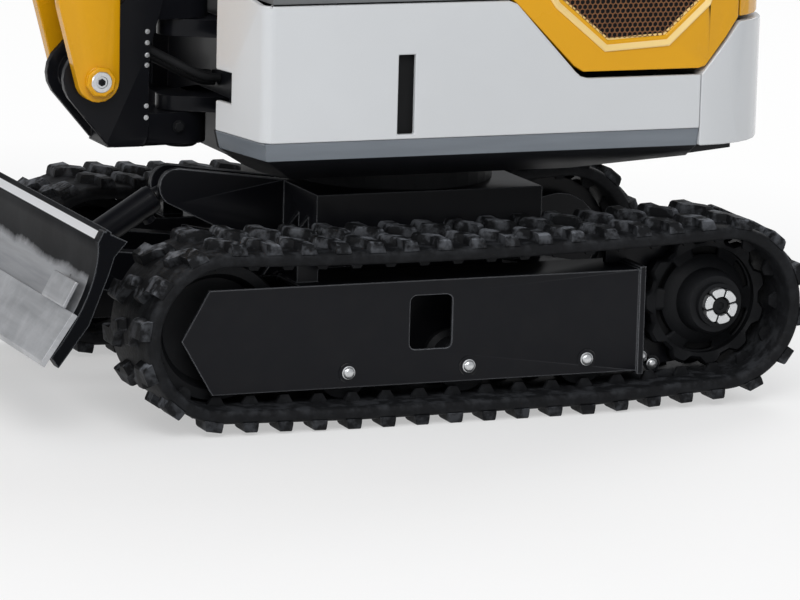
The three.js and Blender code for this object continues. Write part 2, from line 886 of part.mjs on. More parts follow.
function floorPlate() {
  const edge = house.halfWidth - 8;
  const back = house.bulkhead;
  const coverY = house.halfWidth - house.coverDepth - SEAT_GAP;
  const coverX = back + 22 + SEAT_GAP;
  const plan = [
    [coverX, edge],
    [coverX, coverY],
    [back, coverY],
    [back, -coverY],
    [coverX, -coverY],
    [coverX, -edge],
    [face.cornerX - 16, -edge],
    [face.innerX - 44, -face.innerY],
    [face.wallX + 2, -face.innerY],
    [face.wallX + 2, face.innerY],
    [face.innerX - 44, face.innerY],
    [face.cornerX - 16, edge],
  ];
  return upright(plan, house.floorTop - house.floor, house.floorTop);
}

function buildSeat(parent) {
  const floor = house.floorTop + SEAT_GAP;
  const lidTop = house.coverTop + 14 + SEAT_GAP;
  const shell = join(
    block(house.bulkhead + 22 + SEAT_GAP, 190, -seat.baseHalf, seat.baseHalf, floor, seat.base),
    block(seat.rear - 98, house.bulkhead + 30, -seat.baseHalf, seat.baseHalf, lidTop, seat.base),
  );
  const hollow = block(
    house.bulkhead + 34,
    178,
    -seat.baseHalf + 12,
    seat.baseHalf - 12,
    floor - 9,
    seat.base - 12,
  );
  put(parent, "seat_base", cut(shell, hollow), "black");
  const cushionTop = seat.base + seat.cushion;
  const cushion = sideways(
    around([
      [seat.rear + 50, seat.base + SEAT_GAP + 40, 40],
      [seat.front - 40, seat.base + SEAT_GAP + 40, 40],
      [seat.front - 46, cushionTop - 40, 40],
      [seat.rear + 50, cushionTop - 50, 40],
    ], 12),
    -seat.half,
    seat.half,
  );
  put(parent, "seat_cushion", cushion, "vinyl");
  const backrest = strap(
    [
      [seat.rear - 50, seat.base + SEAT_GAP + 45, 45],
      [seat.rear - 110, seat.back - 50, 45],
    ],
    -seat.half + 10,
    seat.half - 10,
  );
  put(parent, "seat_back", backrest, "vinyl");
  for (const [name, side] of [
    ["left", 1],
    ["right", -1],
  ]) {
    const near = side * (seat.baseHalf + SEAT_GAP);
    const far = side * (seat.baseHalf + controls.width);
    const box = sideways(
      [
        [10, floor],
        [150, floor],
        [170, 1090],
        [250, 1170],
        [250, 1215],
        [-40, 1195],
        [-20, 1090],
      ],
      near,
      far,
    );
    const stickY = side * (seat.baseHalf + controls.width / 2);
    const [foot, neck, tip] = controls.grips.map(([x, z]) => [x, stickY, z]);
    const stick = join(
      bar(foot, neck, controls.stick, 10),
      bar([neck[0], stickY, neck[2] - 12], tip, controls.grip, 12),
    );
    const blade = controls.bladeLever.map(([x, z]) => [x, -seat.baseHalf - controls.width + 20, z]);
    const extra = side < 0 ? [bar(...blade, controls.stick - 1, 10)] : [];
    put(parent, `console_${name}`, join(box, stick, ...extra), "black");
  }
  const [plateRear, plateFront, plateHalf] = controls.travelPlate;
  const [pedalRear, pedalFront, pedalY, pedalHalf] = controls.pedal;
  const travel = join(
    block(plateRear, plateFront, -plateHalf, plateHalf, floor, floor + 14),
    ...[-1, 1].flatMap((side) => {
      const [foot, neck, tip] = controls.travel.map(([x, z]) => [x, side * controls.travelApart, z]);
      const y = side * pedalY;
      return [
        bar(foot, neck, controls.stick, 10),
        bar([neck[0] + 1, neck[1], neck[2] - 30], tip, controls.grip - 2, 12),
        block(pedalRear, pedalFront, y - pedalHalf, y + pedalHalf, floor + 8, floor + 34),
      ];
    }),
  );
  put(parent, "travel_levers", travel, "black");
}

function buildCanopy(parent) {
  const floor = house.floorTop + SEAT_GAP;
  const lidTop = house.coverTop + 14 + SEAT_GAP;
  const half = canopy.post / 2;
  const y = house.halfWidth - 42;
  const railZ = canopy.top - half;
  const legs = [-1, 1].flatMap((side) => [
    strap(
      [
        [canopy.frontPost, floor + half, half],
        [canopy.front - 70, railZ, half],
      ],
      side * y - half,
      side * y + half,
    ),
    block(canopy.frontPost - 45, canopy.frontPost + 28, side * y - 34, side * y + 30, floor, floor + 12),
    strap(
      [
        [canopy.rearPost, lidTop + half, half],
        [canopy.rear + 90, railZ, half],
      ],
      side * y - half,
      side * y + half,
    ),
    block(canopy.rearPost - 38, canopy.rearPost + 48, side * y - 34, side * y + 34, lidTop, lidTop + 12),
    block(canopy.rear + 90, canopy.front - 70, side * y - half, side * y + half, railZ - half, railZ + half),
  ]);
  const cross = [canopy.rear + 90, canopy.front - 70].map((x) =>
    block(x - half, x + half, -y, y, railZ - half, railZ + half),
  );
  put(parent, "canopy_frame", join(...legs, ...cross), "black");
  const section = [
    [-canopy.half, canopy.top + SEAT_GAP],
    [canopy.half, canopy.top + SEAT_GAP],
    [canopy.half, canopy.top + 18],
    [canopy.half - 60, canopy.top + canopy.roof],
    [-canopy.half + 60, canopy.top + canopy.roof],
    [-canopy.half, canopy.top + 18],
  ];
  put(parent, "canopy_roof", lengthways(section, canopy.rear, canopy.front), "black");
}

function buildHouse(parent) {
  put(parent, "house_deck", houseDeck(), "black");
  put(parent, "front_frame", frontFrame(), "black");
  put(parent, "side_panel_left", sidePanel(1), "white");
  put(parent, "side_panel_right", sidePanel(-1), "white");
  put(parent, "counterweight", counterweight(), "white");
  put(parent, "rear_hood", rearHood(), "yellow");
  put(parent, "floor_plate", floorPlate(), "mat");
  buildEngineBay(parent);
  buildSeat(parent);
  buildCanopy(parent);
}

// ---------------------------------------------------------------- swing post

function buildSwingPost(parent) {
  const { plate, half, foot, footRadius, rear, bottom, cylinder } = post;
  const r = 20;
  const front = [
    [...foot, footRadius],
    [foot[0] - 43, bottom + r, r],
    [rear + r, bottom + r, r],
    [rear + 17, post.top, 17],
  ];
  const tower = [
    [rear + 17, post.top, 17],
    [...cylinder, 34],
    [rear + 34, foot[1] + 60, 34],
  ];
  const plates = [front, tower].flatMap((circles) => straps(circles, half - plate, half));
  const boss = disc(foot, 40, -half + 2, half - 2);
  const pinSeat = straps([[...cylinder, 26]], boomCylinder.half + PIN_GAP, half - 2);
  const lug = (z0, z1) =>
    upright(
      around([
        [king.x, 0, king.radius],
        [rear + 40, half - 8, 6],
        [rear + 40, -half + 8, 6],
      ]),
      z0,
      z1,
    );
  const low = house.deckTop + SEAT_GAP;
  const lower = lug(bottom, low);
  const upper = lug(king.highTop + PIN_GAP, post.top);
  const floorWeb = block(rear + 10, foot[0] - 30, -half + 2, half - 2, bottom, bottom + 30);
  put(parent, "swing_post", join(...plates, boss, ...pinSeat, lower, upper, floorWeb), "black");
}

// ---------------------------------------------------------------- boom

function buildBoom(parent) {
  const group = frameAt("boom_group", parent, post.foot);
  const { knee, tip, half, forkPlate, footRadius, lowerRadius, kneeRadius, tipRadius, rodEar } = boom;
  const inner = post.half + PIN_GAP;
  const fork = straps(
    [
      [0, 0, footRadius],
      [22, 160, lowerRadius],
      [22, 330, lowerRadius],
    ],
    inner,
    inner + forkPlate,
  );
  const heads = [-1, 1].map((side) => disc([0, 0], 26, side * (inner + 2), side * (inner + forkPlate + 9)));
  const lower = strap(
    [
      [22, 240, lowerRadius],
      [22, 700, lowerRadius + 2],
      [...knee, kneeRadius],
    ],
    -half,
    half,
  );
  const run = minus(tip, knee);
  const length = Math.hypot(...run);
  const along = run.map((v) => v / length);
  const aside = [-along[1], along[0]];
  const at = (s, t = 0) => plus(knee, [along[0] * s + aside[0] * t, along[1] * s + aside[1] * t]);
  const end = length - boom.tipReach;
  const upper = strap(
    [
      [...knee, kneeRadius],
      [...at(end - 52), 52],
    ],
    -half,
    half,
  );
  const tipFork = straps(
    [
      [...tip, tipRadius],
      [...at(end - 90), 40],
    ],
    arm.half + PIN_GAP,
    arm.half + PIN_GAP + boom.tipFork,
  );
  const rodEars = straps(
    [
      [...rodEar, 30],
      [knee[0] - 40, knee[1] - 36, 30],
      [knee[0] - 20, knee[1] + 84 - 40, 30],
    ],
    boomCylinder.rodHalf + PIN_GAP,
    boomCylinder.rodHalf + PIN_GAP + boom.ear,
  );
  const base = at(boom.cylinderAlong, boom.cylinderAside);
  const baseEars = straps(
    [
      [...base, 32],
      [...at(boom.cylinderAlong - 90, 30), 30],
      [...at(boom.cylinderAlong + 60, 30), 30],
    ],
    armCylinder.half + PIN_GAP,
    armCylinder.half + PIN_GAP + boom.ear,
  );
  put(group, "boom", join(...fork, ...heads, lower, upper, ...tipFork, ...rodEars, ...baseEars), "yellow");
  buildCylinder(parent, "boom_cylinder", post.cylinder, plus(post.foot, rodEar), boomCylinder, -24);
  const crank = polar(arm.crank, arm.crankAngle + arm.angle);
  buildCylinder(group, "arm_cylinder", base, plus(tip, crank), armCylinder, -309);
  buildArm(frameAt("arm_group", group, tip, arm.angle));
}

// ---------------------------------------------------------------- arm, links and bucket

function buildArm(group) {
  const { half, length, rootRadius, depthRadius, tipRadius, cylinder } = arm;
  const crank = polar(arm.crank, arm.crankAngle);
  const beam = strap(
    [
      [0, 0, rootRadius],
      [90, 0, depthRadius],
      [length, 0, tipRadius],
    ],
    -half,
    half,
  );
  const cheeks = straps(
    [
      [...crank, 34],
      [0, 0, rootRadius - 8],
    ],
    armCylinder.rodHalf + PIN_GAP,
    half,
  );
  const ears = straps(
    [
      [...cylinder, 30],
      [-30, 30, 25],
      [20, 30, 30],
    ],
    bucketCylinder.half + PIN_GAP,
    bucketCylinder.half + PIN_GAP + 15,
  );
  put(group, "arm", join(beam, ...cheeks, ...ears), "yellow");

  const pin = [length, 0];
  const lever = plus(pin, polar(bucket.lever, bucket.angle));
  const pivot = [arm.rockerAt, 0];
  const elbow = meet(pivot, arm.rocker, lever, arm.link);
  const rockerInner = half + PIN_GAP;
  const reach = THREE.MathUtils.radToDeg(Math.atan2(elbow[1] - pivot[1], elbow[0] - pivot[0]));
  const tie = plus(elbow, polar(46, reach - 25));
  const rocker = join(
    ...straps(
      [
        [...pivot, 28],
        [...elbow, 26],
        [...tie, 12],
      ],
      rockerInner,
      rockerInner + 13,
    ),
    disc(tie, 8, -rockerInner - 2, rockerInner + 2, 12),
  );
  put(frameAt("rocker_group", group, [0, 0]), "rocker_link", rocker, "black");
  const forkInner = bucketCylinder.rodHalf + PIN_GAP;
  const push = cut(
    strap(
      [
        [...elbow, 26],
        [...lever, 28],
      ],
      -half + 1,
      half - 1,
    ),
    strap(
      [
        [...elbow, 40],
        [elbow[0] + 0.56 * (lever[0] - elbow[0]), elbow[1] + 0.56 * (lever[1] - elbow[1]), 40],
      ],
      -forkInner,
      forkInner,
    ),
  );
  put(frameAt("push_group", group, [0, 0]), "push_link", push, "black");
  buildCylinder(group, "bucket_cylinder", cylinder, elbow, bucketCylinder, -384);
  buildBucket(frameAt("bucket_group", group, pin, bucket.angle));
}

function buildBucket(group) {
  const { half, wall, ear, outline, lever } = bucket;
  const curve = new THREE.SplineCurve(outline.slice(1).map((p) => new THREE.Vector2(...p)));
  const back = curve.getPoints(14).map((p) => [p.x, p.y]);
  const shape = [outline[0], ...back].reverse();
  const inset = shape.map((p) => {
    const out = minus(p, bucket.middle);
    return plus(p, scale(out, -wall / Math.hypot(...out)));
  });
  const lip = shape[0];
  const rim = shape.at(-1);
  const mouth = minus(lip, rim);
  const outward = scale([mouth[1], -mouth[0]], bucket.middleDepth / Math.hypot(...mouth));
  const hollow = [plus(lip, outward), ...inset, plus(rim, outward)];
  const shell = cut(sideways(shape, -half, half), sideways(hollow, -half + wall, half - wall));
  const inner = arm.half + PIN_GAP;
  const ears = straps(
    [
      [0, 0, 36],
      [lever, 0, 32],
      [lever + 30, -62, 14],
      [24, -72, 14],
    ],
    inner,
    inner + ear,
  );
  const bite = scale(minus(lip, shape[1]), 1 / Math.hypot(...minus(lip, shape[1])));
  const beside = [bite[1], -bite[0]];
  const at = (s, t) => plus(lip, plus(scale(bite, s), scale(beside, t)));
  const profile = [at(-16, 17), at(bucket.tooth, 7), at(bucket.tooth, 3), at(-16, -3)];
  const teeth = Array.from({ length: bucket.teeth }, (_, i) => {
    const y = -half + 26 + (i * (2 * half - 52)) / (bucket.teeth - 1);
    return sideways(profile, y - 22, y + 22);
  });
  put(group, "bucket", join(shell, ...ears, ...teeth), "yellow");
}

// ---------------------------------------------------------------- the machine

const machine = new THREE.Group();
machine.name = "mini_excavator";
buildUndercarriage(machine);
buildBlade(machine);
buildHouse(machine);
buildSwingPost(machine);
buildBoom(machine);

machine.updateMatrixWorld(true);
const extent = new THREE.Box3().setFromObject(machine, true);
machine.position.x = -(extent.min.x + extent.max.x) / 2;
machine.updateMatrixWorld(true);

export default machine;
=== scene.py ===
# %% [markdown]
# # A mini excavator on rubber tracks
# This lesson dresses a finished mechanical model. The frame below already holds every pin, panel and
# link at its real size, so nothing here moves or resizes it. Each cell adds one piece or one finish.

# %% Load the frame
import json
import math
import bmesh
import bpy
import numpy as np
from mathutils import Matrix, Vector

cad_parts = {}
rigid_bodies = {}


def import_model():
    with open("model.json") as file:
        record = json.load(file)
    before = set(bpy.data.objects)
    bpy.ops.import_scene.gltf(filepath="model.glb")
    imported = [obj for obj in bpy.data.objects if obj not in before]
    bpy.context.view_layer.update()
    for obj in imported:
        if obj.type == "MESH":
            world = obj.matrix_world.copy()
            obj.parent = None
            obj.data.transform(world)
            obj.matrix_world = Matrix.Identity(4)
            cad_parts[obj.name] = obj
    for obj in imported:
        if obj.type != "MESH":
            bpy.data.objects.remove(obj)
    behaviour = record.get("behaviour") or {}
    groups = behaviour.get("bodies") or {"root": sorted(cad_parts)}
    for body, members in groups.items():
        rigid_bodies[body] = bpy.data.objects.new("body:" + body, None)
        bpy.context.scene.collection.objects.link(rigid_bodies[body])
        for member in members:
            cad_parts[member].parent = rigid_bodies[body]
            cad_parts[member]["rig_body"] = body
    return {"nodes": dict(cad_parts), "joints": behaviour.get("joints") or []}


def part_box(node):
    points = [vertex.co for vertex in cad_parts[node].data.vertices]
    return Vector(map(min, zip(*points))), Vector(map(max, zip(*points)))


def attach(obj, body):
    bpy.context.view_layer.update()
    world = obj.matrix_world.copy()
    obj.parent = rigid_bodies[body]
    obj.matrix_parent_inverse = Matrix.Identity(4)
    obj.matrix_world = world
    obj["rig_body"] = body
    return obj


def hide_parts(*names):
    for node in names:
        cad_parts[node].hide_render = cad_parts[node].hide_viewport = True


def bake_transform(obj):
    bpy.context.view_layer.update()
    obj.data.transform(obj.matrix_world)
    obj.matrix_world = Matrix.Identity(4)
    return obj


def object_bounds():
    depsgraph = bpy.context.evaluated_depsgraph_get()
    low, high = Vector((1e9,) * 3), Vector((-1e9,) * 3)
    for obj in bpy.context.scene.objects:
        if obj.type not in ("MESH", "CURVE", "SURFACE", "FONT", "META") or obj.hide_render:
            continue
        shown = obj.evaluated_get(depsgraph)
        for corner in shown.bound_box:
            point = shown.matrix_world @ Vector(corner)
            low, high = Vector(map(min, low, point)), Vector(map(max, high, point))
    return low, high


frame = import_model()
CAD_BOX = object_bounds()
JOINTS = {joint["name"]: joint for joint in frame["joints"]}
print("nodes:", len(frame["nodes"]), "joints:", len(JOINTS))

# %% [markdown]
# ## Where things are
# Every place comes from the frame: a node's box, or the axis of a joint. The slewing axis is the
# machine's own zero, so a place is written as a fitter would measure it: metres ahead of that axis, to
# the left, and above the ground.

# %% Places
def edges(node):
    """The low and the high corner of a node's box."""
    return np.array(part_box(node))


def middle(node):
    """The centre of a node's box."""
    return edges(node).mean(0)


def pin_of(joint):
    """A point on a joint's axis."""
    return np.array(JOINTS[joint]["pos_m"])


def ahead(x, y, z):
    """A place so many metres ahead of the slewing axis, to the left, and above the ground."""
    return np.array([SLEW_X + x, y, z])


def unit(vector):
    """Directions of length 1 along the last axis."""
    vector = np.asarray(vector, float)
    return vector / np.linalg.norm(vector, axis=-1, keepdims=True)


X, Y, Z = 0, 1, 2
LOW, HIGH = 0, 1
SLEW_X = float(middle("slew_ring")[X])
SIDES = (("left", 1), ("right", -1))
print("slewing axis at x =", round(SLEW_X, 4))

# %% [markdown]
# ## The camera
# A long lens far away keeps parallel edges nearly parallel. It stands high on the left side, a little
# ahead of the machine, and looks back at the running gear. It leans by a degree and a half.

# %% Camera
def turned_camera(place, yaw, pitch, roll, lens):
    """A camera at a place. Yaw turns its line of sight from straight across towards the back, pitch
    lowers it, and roll turns it about that line. The columns of its matrix are its right, its up and
    its back."""
    yaw, pitch, roll = np.radians([yaw, pitch, roll])
    sight = np.array([-np.sin(yaw) * np.cos(pitch), -np.cos(yaw) * np.cos(pitch), -np.sin(pitch)])
    right = unit(np.cross(sight, [0, 0, 1]))
    up = np.cross(right, sight)
    leaned = right * np.cos(roll) + up * np.sin(roll), up * np.cos(roll) - right * np.sin(roll)
    data = bpy.data.cameras.new("camera")
    data.lens = lens
    data.sensor_width = 36
    data.clip_end = 100
    camera = bpy.data.objects.new("camera", data)
    turn = Matrix(np.column_stack([leaned[0], leaned[1], -sight]).tolist()).to_4x4()
    camera.matrix_world = Matrix.Translation(place) @ turn
    bpy.context.scene.collection.objects.link(camera)
    return camera


bpy.context.scene.camera = turned_camera(
    (SLEW_X + 3.478, 8.492, 1.925), yaw=22.44, pitch=10.975, roll=1.497, lens=208.17)
bpy.context.scene.view_settings.view_transform = "Standard"

# %% [markdown]
# ## Writing shaders as sums
# A node tree is arithmetic drawn as boxes. The class below wraps one socket and overloads the operators,
# so that `1 - mask * 0.4` adds the Math nodes by itself. Every other node comes from `Finish.add`.

# %% Shader values
class Value:
    """A number that changes over a surface: the output socket of a shader node."""

    def __init__(self, socket):
        self.socket = socket

    def maths(self, operation, *terms):
        """A Math node over the terms, in their order."""
        node = self.socket.id_data.nodes.new("ShaderNodeMath")
        node.operation = operation
        for slot, term in zip(node.inputs, terms):
            feed(slot, term)
        return Value(node.outputs[0])

    def __rsub__(self, other):
        return self.maths("SUBTRACT", other, self)

    def held(self):
        """The value kept between 0 and 1."""
        return self.maths("MINIMUM", self.maths("MAXIMUM", self, 0.0), 1.0)

    def above(self, start, width):
        """A soft step: 0 up to start, 1 from start + width."""
        return ((self - start) / width).held()


OPERATORS = {
    "__add__": "ADD", "__radd__": "ADD", "__sub__": "SUBTRACT", "__mul__": "MULTIPLY", "__rmul__": "MULTIPLY",
    "__truediv__": "DIVIDE", "__pow__": "POWER", "sine": "SINE", "size": "ABSOLUTE", "most": "MAXIMUM",
}
for method, operation in OPERATORS.items():
    setattr(Value, method, lambda self, *other, operation=operation: self.maths(operation, self, *other))


def feed(socket, value):
    """Links a Value into a socket, or sets a plain number or colour on it."""
    if isinstance(value, Value):
        socket.id_data.links.new(value.socket, socket)
    else:
        socket.default_value = value


# %% [markdown]
# ## Finishes
# A finish is a material with a Principled shader. Whatever is the same all over is set on the shader's
# own socket, and what varies is linked: colour, roughness, metal, and the height behind a Bump node. The
# frame's paint list has fewer names than there are finishes, so each finish says which one it stands for.

# %% Finish builder
SLOT_OF = {
    "frame_paint": "black_paint", "blade_paint": "black_paint", "deck_paint": "black_paint",
    "highlight_yellow_paint": "yellow_paint", "bucket_paint": "yellow_paint", "lug_rubber": "track_rubber",
    "cast_iron": "cast_parts", "zinc_plate": "worn_steel", "lamp_lens": "worn_steel",
    "red_reflector": "worn_steel", "black_plastic": "console_plastic", "hose_rubber": "console_plastic",
    "painted_shade_dark": "console_plastic", "roof_plastic": "roof_paint",
}


class Finish:
    """A material under construction, with Object coordinates at hand."""

    def __init__(self, name, **uniform):
        self.material = bpy.data.materials.new(name)
        self.material.use_nodes = True
        self.slot = SLOT_OF.get(name, name)
        self.tree = self.material.node_tree
        self.shader = self.tree.nodes["Principled BSDF"]
        for socket, value in uniform.items():
            self.shader.inputs[socket.replace("_", " ").title().replace("Ior", "IOR")].default_value = value
        self.place = self.add("TexCoord", out="Object")

    def add(self, kind, settings=None, out=0, **inputs):
        """A shader node: its settings first, then its sockets by name, or by number as in _0."""
        node = self.tree.nodes.new("ShaderNode" + kind)
        for key, value in (settings or {}).items():
            setattr(node, key, value)
        for key, value in inputs.items():
            found = [s for s in node.inputs if s.enabled and s.name == key]
            feed(found[0] if found else node.inputs[int(key[1:])], value)
        return Value([s for s in node.outputs if s.enabled and (out == 0 or s.name == out)][0])

    def noise(self, scale, detail=3.0, roughness=0.5, where=None):
        """Noise from 0 to 1, about 0.5, with so many waves a metre."""
        where = where or self.place
        return self.add("TexNoise", Vector=where, Scale=scale, Detail=detail, Roughness=roughness)

    def stretched(self, x, y, z, detail, roughness=0.5):
        """Noise drawn out into streaks: each axis has its own number of waves a metre."""
        where = self.add("Mapping", Vector=self.place, Scale=(x, y, z))
        return self.noise(1.0, detail, roughness, where)

    def axes(self, vector=None):
        """The three parts of a vector, which is the place if none is given."""
        node = self.tree.nodes.new("ShaderNodeSeparateXYZ")
        feed(node.inputs[0], vector or self.place)
        return [Value(s) for s in node.outputs]

    def normal(self):
        return self.add("NewGeometry", out="Normal")

    def blend(self, share, first, second):
        """A colour between two colours."""
        first, second = (c if isinstance(c, Value) else (*c, 1) for c in (first, second))
        return self.add("Mix", {"data_type": "RGBA"}, Factor=share, A=first, B=second)

    def set(self, **links):
        for socket, value in links.items():
            feed(self.shader.inputs[socket.replace("_", " ").title()], value)

    def bump(self, height, distance, strength=1.0):
        """Tilts the normal as if the surface rose by height times distance, in metres."""
        self.set(normal=self.add("Bump", Height=height, Distance=distance, Strength=strength))
        return self

    def corners(self, radius):
        """1 along sharp edges and 0 on flats: how far the rounded normal leans from the true one."""
        rounded = self.add("Bevel", {"samples": 4}, Radius=radius)
        lean = self.add("VectorMath", {"operation": "DOT_PRODUCT"}, out="Value", _0=rounded, _1=self.normal())
        return (1 - lean) * 6.0


# %% [markdown]
# ## Paint
# Machine paint is sprayed thick over steel. It has a faint orange peel, slight colour drift, and a film
# of dust on what faces up and near the ground. One function makes every paint, so that black, white and
# yellow panels look as if they came from one shop.

# %% Paint finishes
DUST = (0.17, 0.15, 0.125)
BARE_METAL = (0.32, 0.31, 0.3)
PAINTED_EDGE_HIGHLIGHT = (0.30, 0.31, 0.33)
NIGHT = (0.0058, 0.0062, 0.0082)


def paint(name, colour, roughness=0.3, dust=0.0, wear=0.0, coat=0.3, gloss=0.4, rim=0.0):
    """Paint whose colour drifts by a few per cent, with orange peel, dust towards the ground and on
    upward faces, bare patches on edges where wear is above 0, and, by rim, an even pale painted highlight
    along the edges."""
    finish = Finish(name, coat_roughness=0.12, specular_ior_level=gloss)
    colour = np.array(colour)
    body = finish.blend(finish.noise(3.0, 4.0), tuple(colour * 0.93), tuple(np.minimum(colour * 1.06, 1)))
    high = finish.axes()[Z]
    up = finish.axes(finish.normal())[Z]
    film = (1 - high.above(0.02, 0.9)) * 0.6 + up.above(0.5, 0.5) * 0.5
    film = film * finish.noise(26.0, 6.0).above(0.4, 0.35)
    if dust:
        body = finish.blend(film * dust, body, DUST)
    matt = finish.noise(7.0, 3.0) * 0.06 + roughness - 0.03 + film * dust * 0.5
    metal = 0.0
    if wear:
        bare = finish.corners(0.003).held() * finish.noise(38.0, 5.0).above(0.52, 0.1) * wear
        body = finish.blend(bare, body, BARE_METAL)
        matt = matt + bare * 0.1
        metal = bare * 0.8
    shine = (1 - film * min(dust * 5, 1)) * coat
    # rim paints a pale band on sharp edges: a painted highlight, standing for the light a rounded edge
    # catches.
    if rim:
        body = finish.blend(finish.corners(0.0035).held() * rim, body, PAINTED_EDGE_HIGHLIGHT)
    finish.set(base_color=body, roughness=matt, metallic=metal, coat_weight=shine)
    return finish.bump(finish.noise(420.0, 1.0), 0.00005, 0.12)


BLACK = paint("black_paint", NIGHT, 0.36, dust=0.02, wear=0.25, coat=0.04, gloss=0.13)
# The frame's black carries painted pale highlights along its edges.
FRAME_BLACK = paint("frame_paint", NIGHT, 0.36, dust=0.02, coat=0.04, gloss=0.13, rim=0.75)
WHITE = paint("white_paint", (0.575, 0.59, 0.605), 0.26, coat=0.35)
YELLOW = paint("yellow_paint", (0.70, 0.338, 0.004), 0.27, coat=0.15, gloss=0.22)
# A paler yellow for the grille's lip: a painted highlight of the light that its sloping band catches.
HIGHLIGHT_YELLOW = paint("highlight_yellow_paint", (0.86, 0.62, 0.24), 0.27, coat=0.2)
print("paints:", BLACK.material.name, WHITE.material.name, YELLOW.material.name)

# %% [markdown]
# ## The deck's two colours
# The house stands on one folded deck. Its upright rail is grey and shines softly, and the pan below it
# is black. A soft step on the height keeps both on one piece, as the painter's mask would.

# %% Deck finish
RAIL_BOTTOM = edges("counterweight")[LOW, Z]
PANEL_INNER = edges("side_panel_left")[LOW, Y]


def deck_paint():
    finish = Finish("deck_paint", coat_roughness=0.2, specular_ior_level=0.25)
    _, across, height = finish.axes()
    rail = height.above(RAIL_BOTTOM - 0.001, 0.001) * across.size().above(PANEL_INNER - 0.002, 0.001)
    drift = finish.stretched(4.0, 4.0, 40.0, 5.0)
    grey = finish.blend(drift, (0.115, 0.132, 0.152), (0.21, 0.235, 0.265))
    finish.set(base_color=finish.blend(rail, (0.0058, 0.0062, 0.008), grey), roughness=0.36 + drift * 0.14)
    finish.set(coat_weight=rail * 0.3)
    return finish.bump(finish.noise(700.0, 2.0), 0.0001, 0.25)


DECK = deck_paint()

# %% [markdown]
# ## Rubber
# Track rubber is nearly black and quite rough. Pale patches stand for lug crests scrubbed by the ground,
# and they are stronger on faces that look up: there they are partly a painted highlight of light from above.

# %% Rubber finish
def rubber(name, scrub_and_highlight):
    finish = Finish(name, specular_ior_level=0.12)
    grain = finish.noise(120.0, 6.0)
    patches = finish.noise(34.0, 5.0, 0.6)
    up = finish.axes(finish.normal())[Z]
    # Pale patches: scrubbed wear, made stronger on upward faces as a painted highlight.
    pale = patches.above(0.46, 0.16) * (up.above(0.0, 0.8) * 0.75 + 0.25) * scrub_and_highlight
    colour = finish.blend(grain, (0.004, 0.0043, 0.005), (0.0105, 0.011, 0.0125))
    finish.set(base_color=finish.blend(pale.held(), colour, (0.17, 0.18, 0.2)), roughness=0.5 + grain * 0.25)
    return finish.bump(grain * 0.6 + finish.noise(30.0, 4.0) * 0.4, 0.0016, 0.6)


RUBBER = rubber("track_rubber", 0.12)
LUG_RUBBER = rubber("lug_rubber", 0.85)

# %% [markdown]
# ## Metals
# Cast iron is dark and pebbled. Zinc is bright with a frosted grain. Chrome is smooth with fine rings
# left by grinding. A digging edge is bare steel, drawn by the soil into streaks.

# %% Metal finishes
def cast_iron():
    finish = Finish("cast_iron", metallic=0.15, specular_ior_level=0.15)
    grain = finish.noise(260.0, 5.0)
    colour = finish.blend(finish.noise(18.0, 4.0), (0.006, 0.0064, 0.0074), (0.014, 0.0147, 0.0165))
    finish.set(base_color=colour, roughness=0.42 + grain * 0.25)
    return finish.bump(grain, 0.0006, 0.5)


def zinc():
    finish = Finish("zinc_plate", metallic=0.9)
    grain = finish.noise(320.0, 3.0)
    finish.set(base_color=finish.blend(grain, (0.5, 0.51, 0.52), (0.82, 0.83, 0.84)))
    finish.set(roughness=0.22 + grain * 0.2)
    return finish.bump(grain, 0.0001, 0.3)


def chrome():
    finish = Finish("rod_chrome", metallic=1.0)
    rings = finish.stretched(900.0, 4.0, 900.0, 2.0)
    finish.set(base_color=finish.blend(rings, (0.68, 0.69, 0.71), (0.78, 0.79, 0.8)))
    finish.set(roughness=0.08 + rings * 0.1)
    return finish.bump(rings, 0.00005, 0.2)


def worn_steel():
    """Bare steel with long streaks across and cloudy dark patches where mill scale is left."""
    finish = Finish("worn_steel")
    streaks = finish.stretched(*SCRAPES)
    clouds = finish.noise(9.0, 5.0, 0.6).above(0.42, 0.3)
    colour = finish.blend(streaks, (0.2, 0.205, 0.215), (0.52, 0.53, 0.55))
    colour = finish.blend(clouds * 0.6, colour, (0.74, 0.75, 0.77))
    finish.set(base_color=colour, roughness=0.3 + streaks * 0.25, metallic=0.55 + clouds * 0.25)
    return finish.bump(streaks, 0.0006, 0.5)


SCRAPES = (26.0, 3.0, 60.0, 6.0, 0.6)
CAST = cast_iron()
ZINC = zinc()
CHROME = chrome()
STEEL = worn_steel()

# %% [markdown]
# ## The blade's paint
# The board's face is scraped by what it pushes. Black paint stays on the back, on the arms and on the
# upper part, and gives way to worn steel lower down, in a ragged line. A strip under the top edge, where
# the board folds forward, is painted near white: a painted highlight of the light the fold catches. Sharp
# edges get a painted pale highlight.

# %% Blade finish
BLADE_FRONT = edges("blade")[HIGH, X] - 0.105
BLADE_END = edges("blade")[HIGH, Y] - 0.028
BLADE_LINE = edges("blade")[LOW, Z] + 0.142
BLADE_TOP = edges("blade")[HIGH, Z]


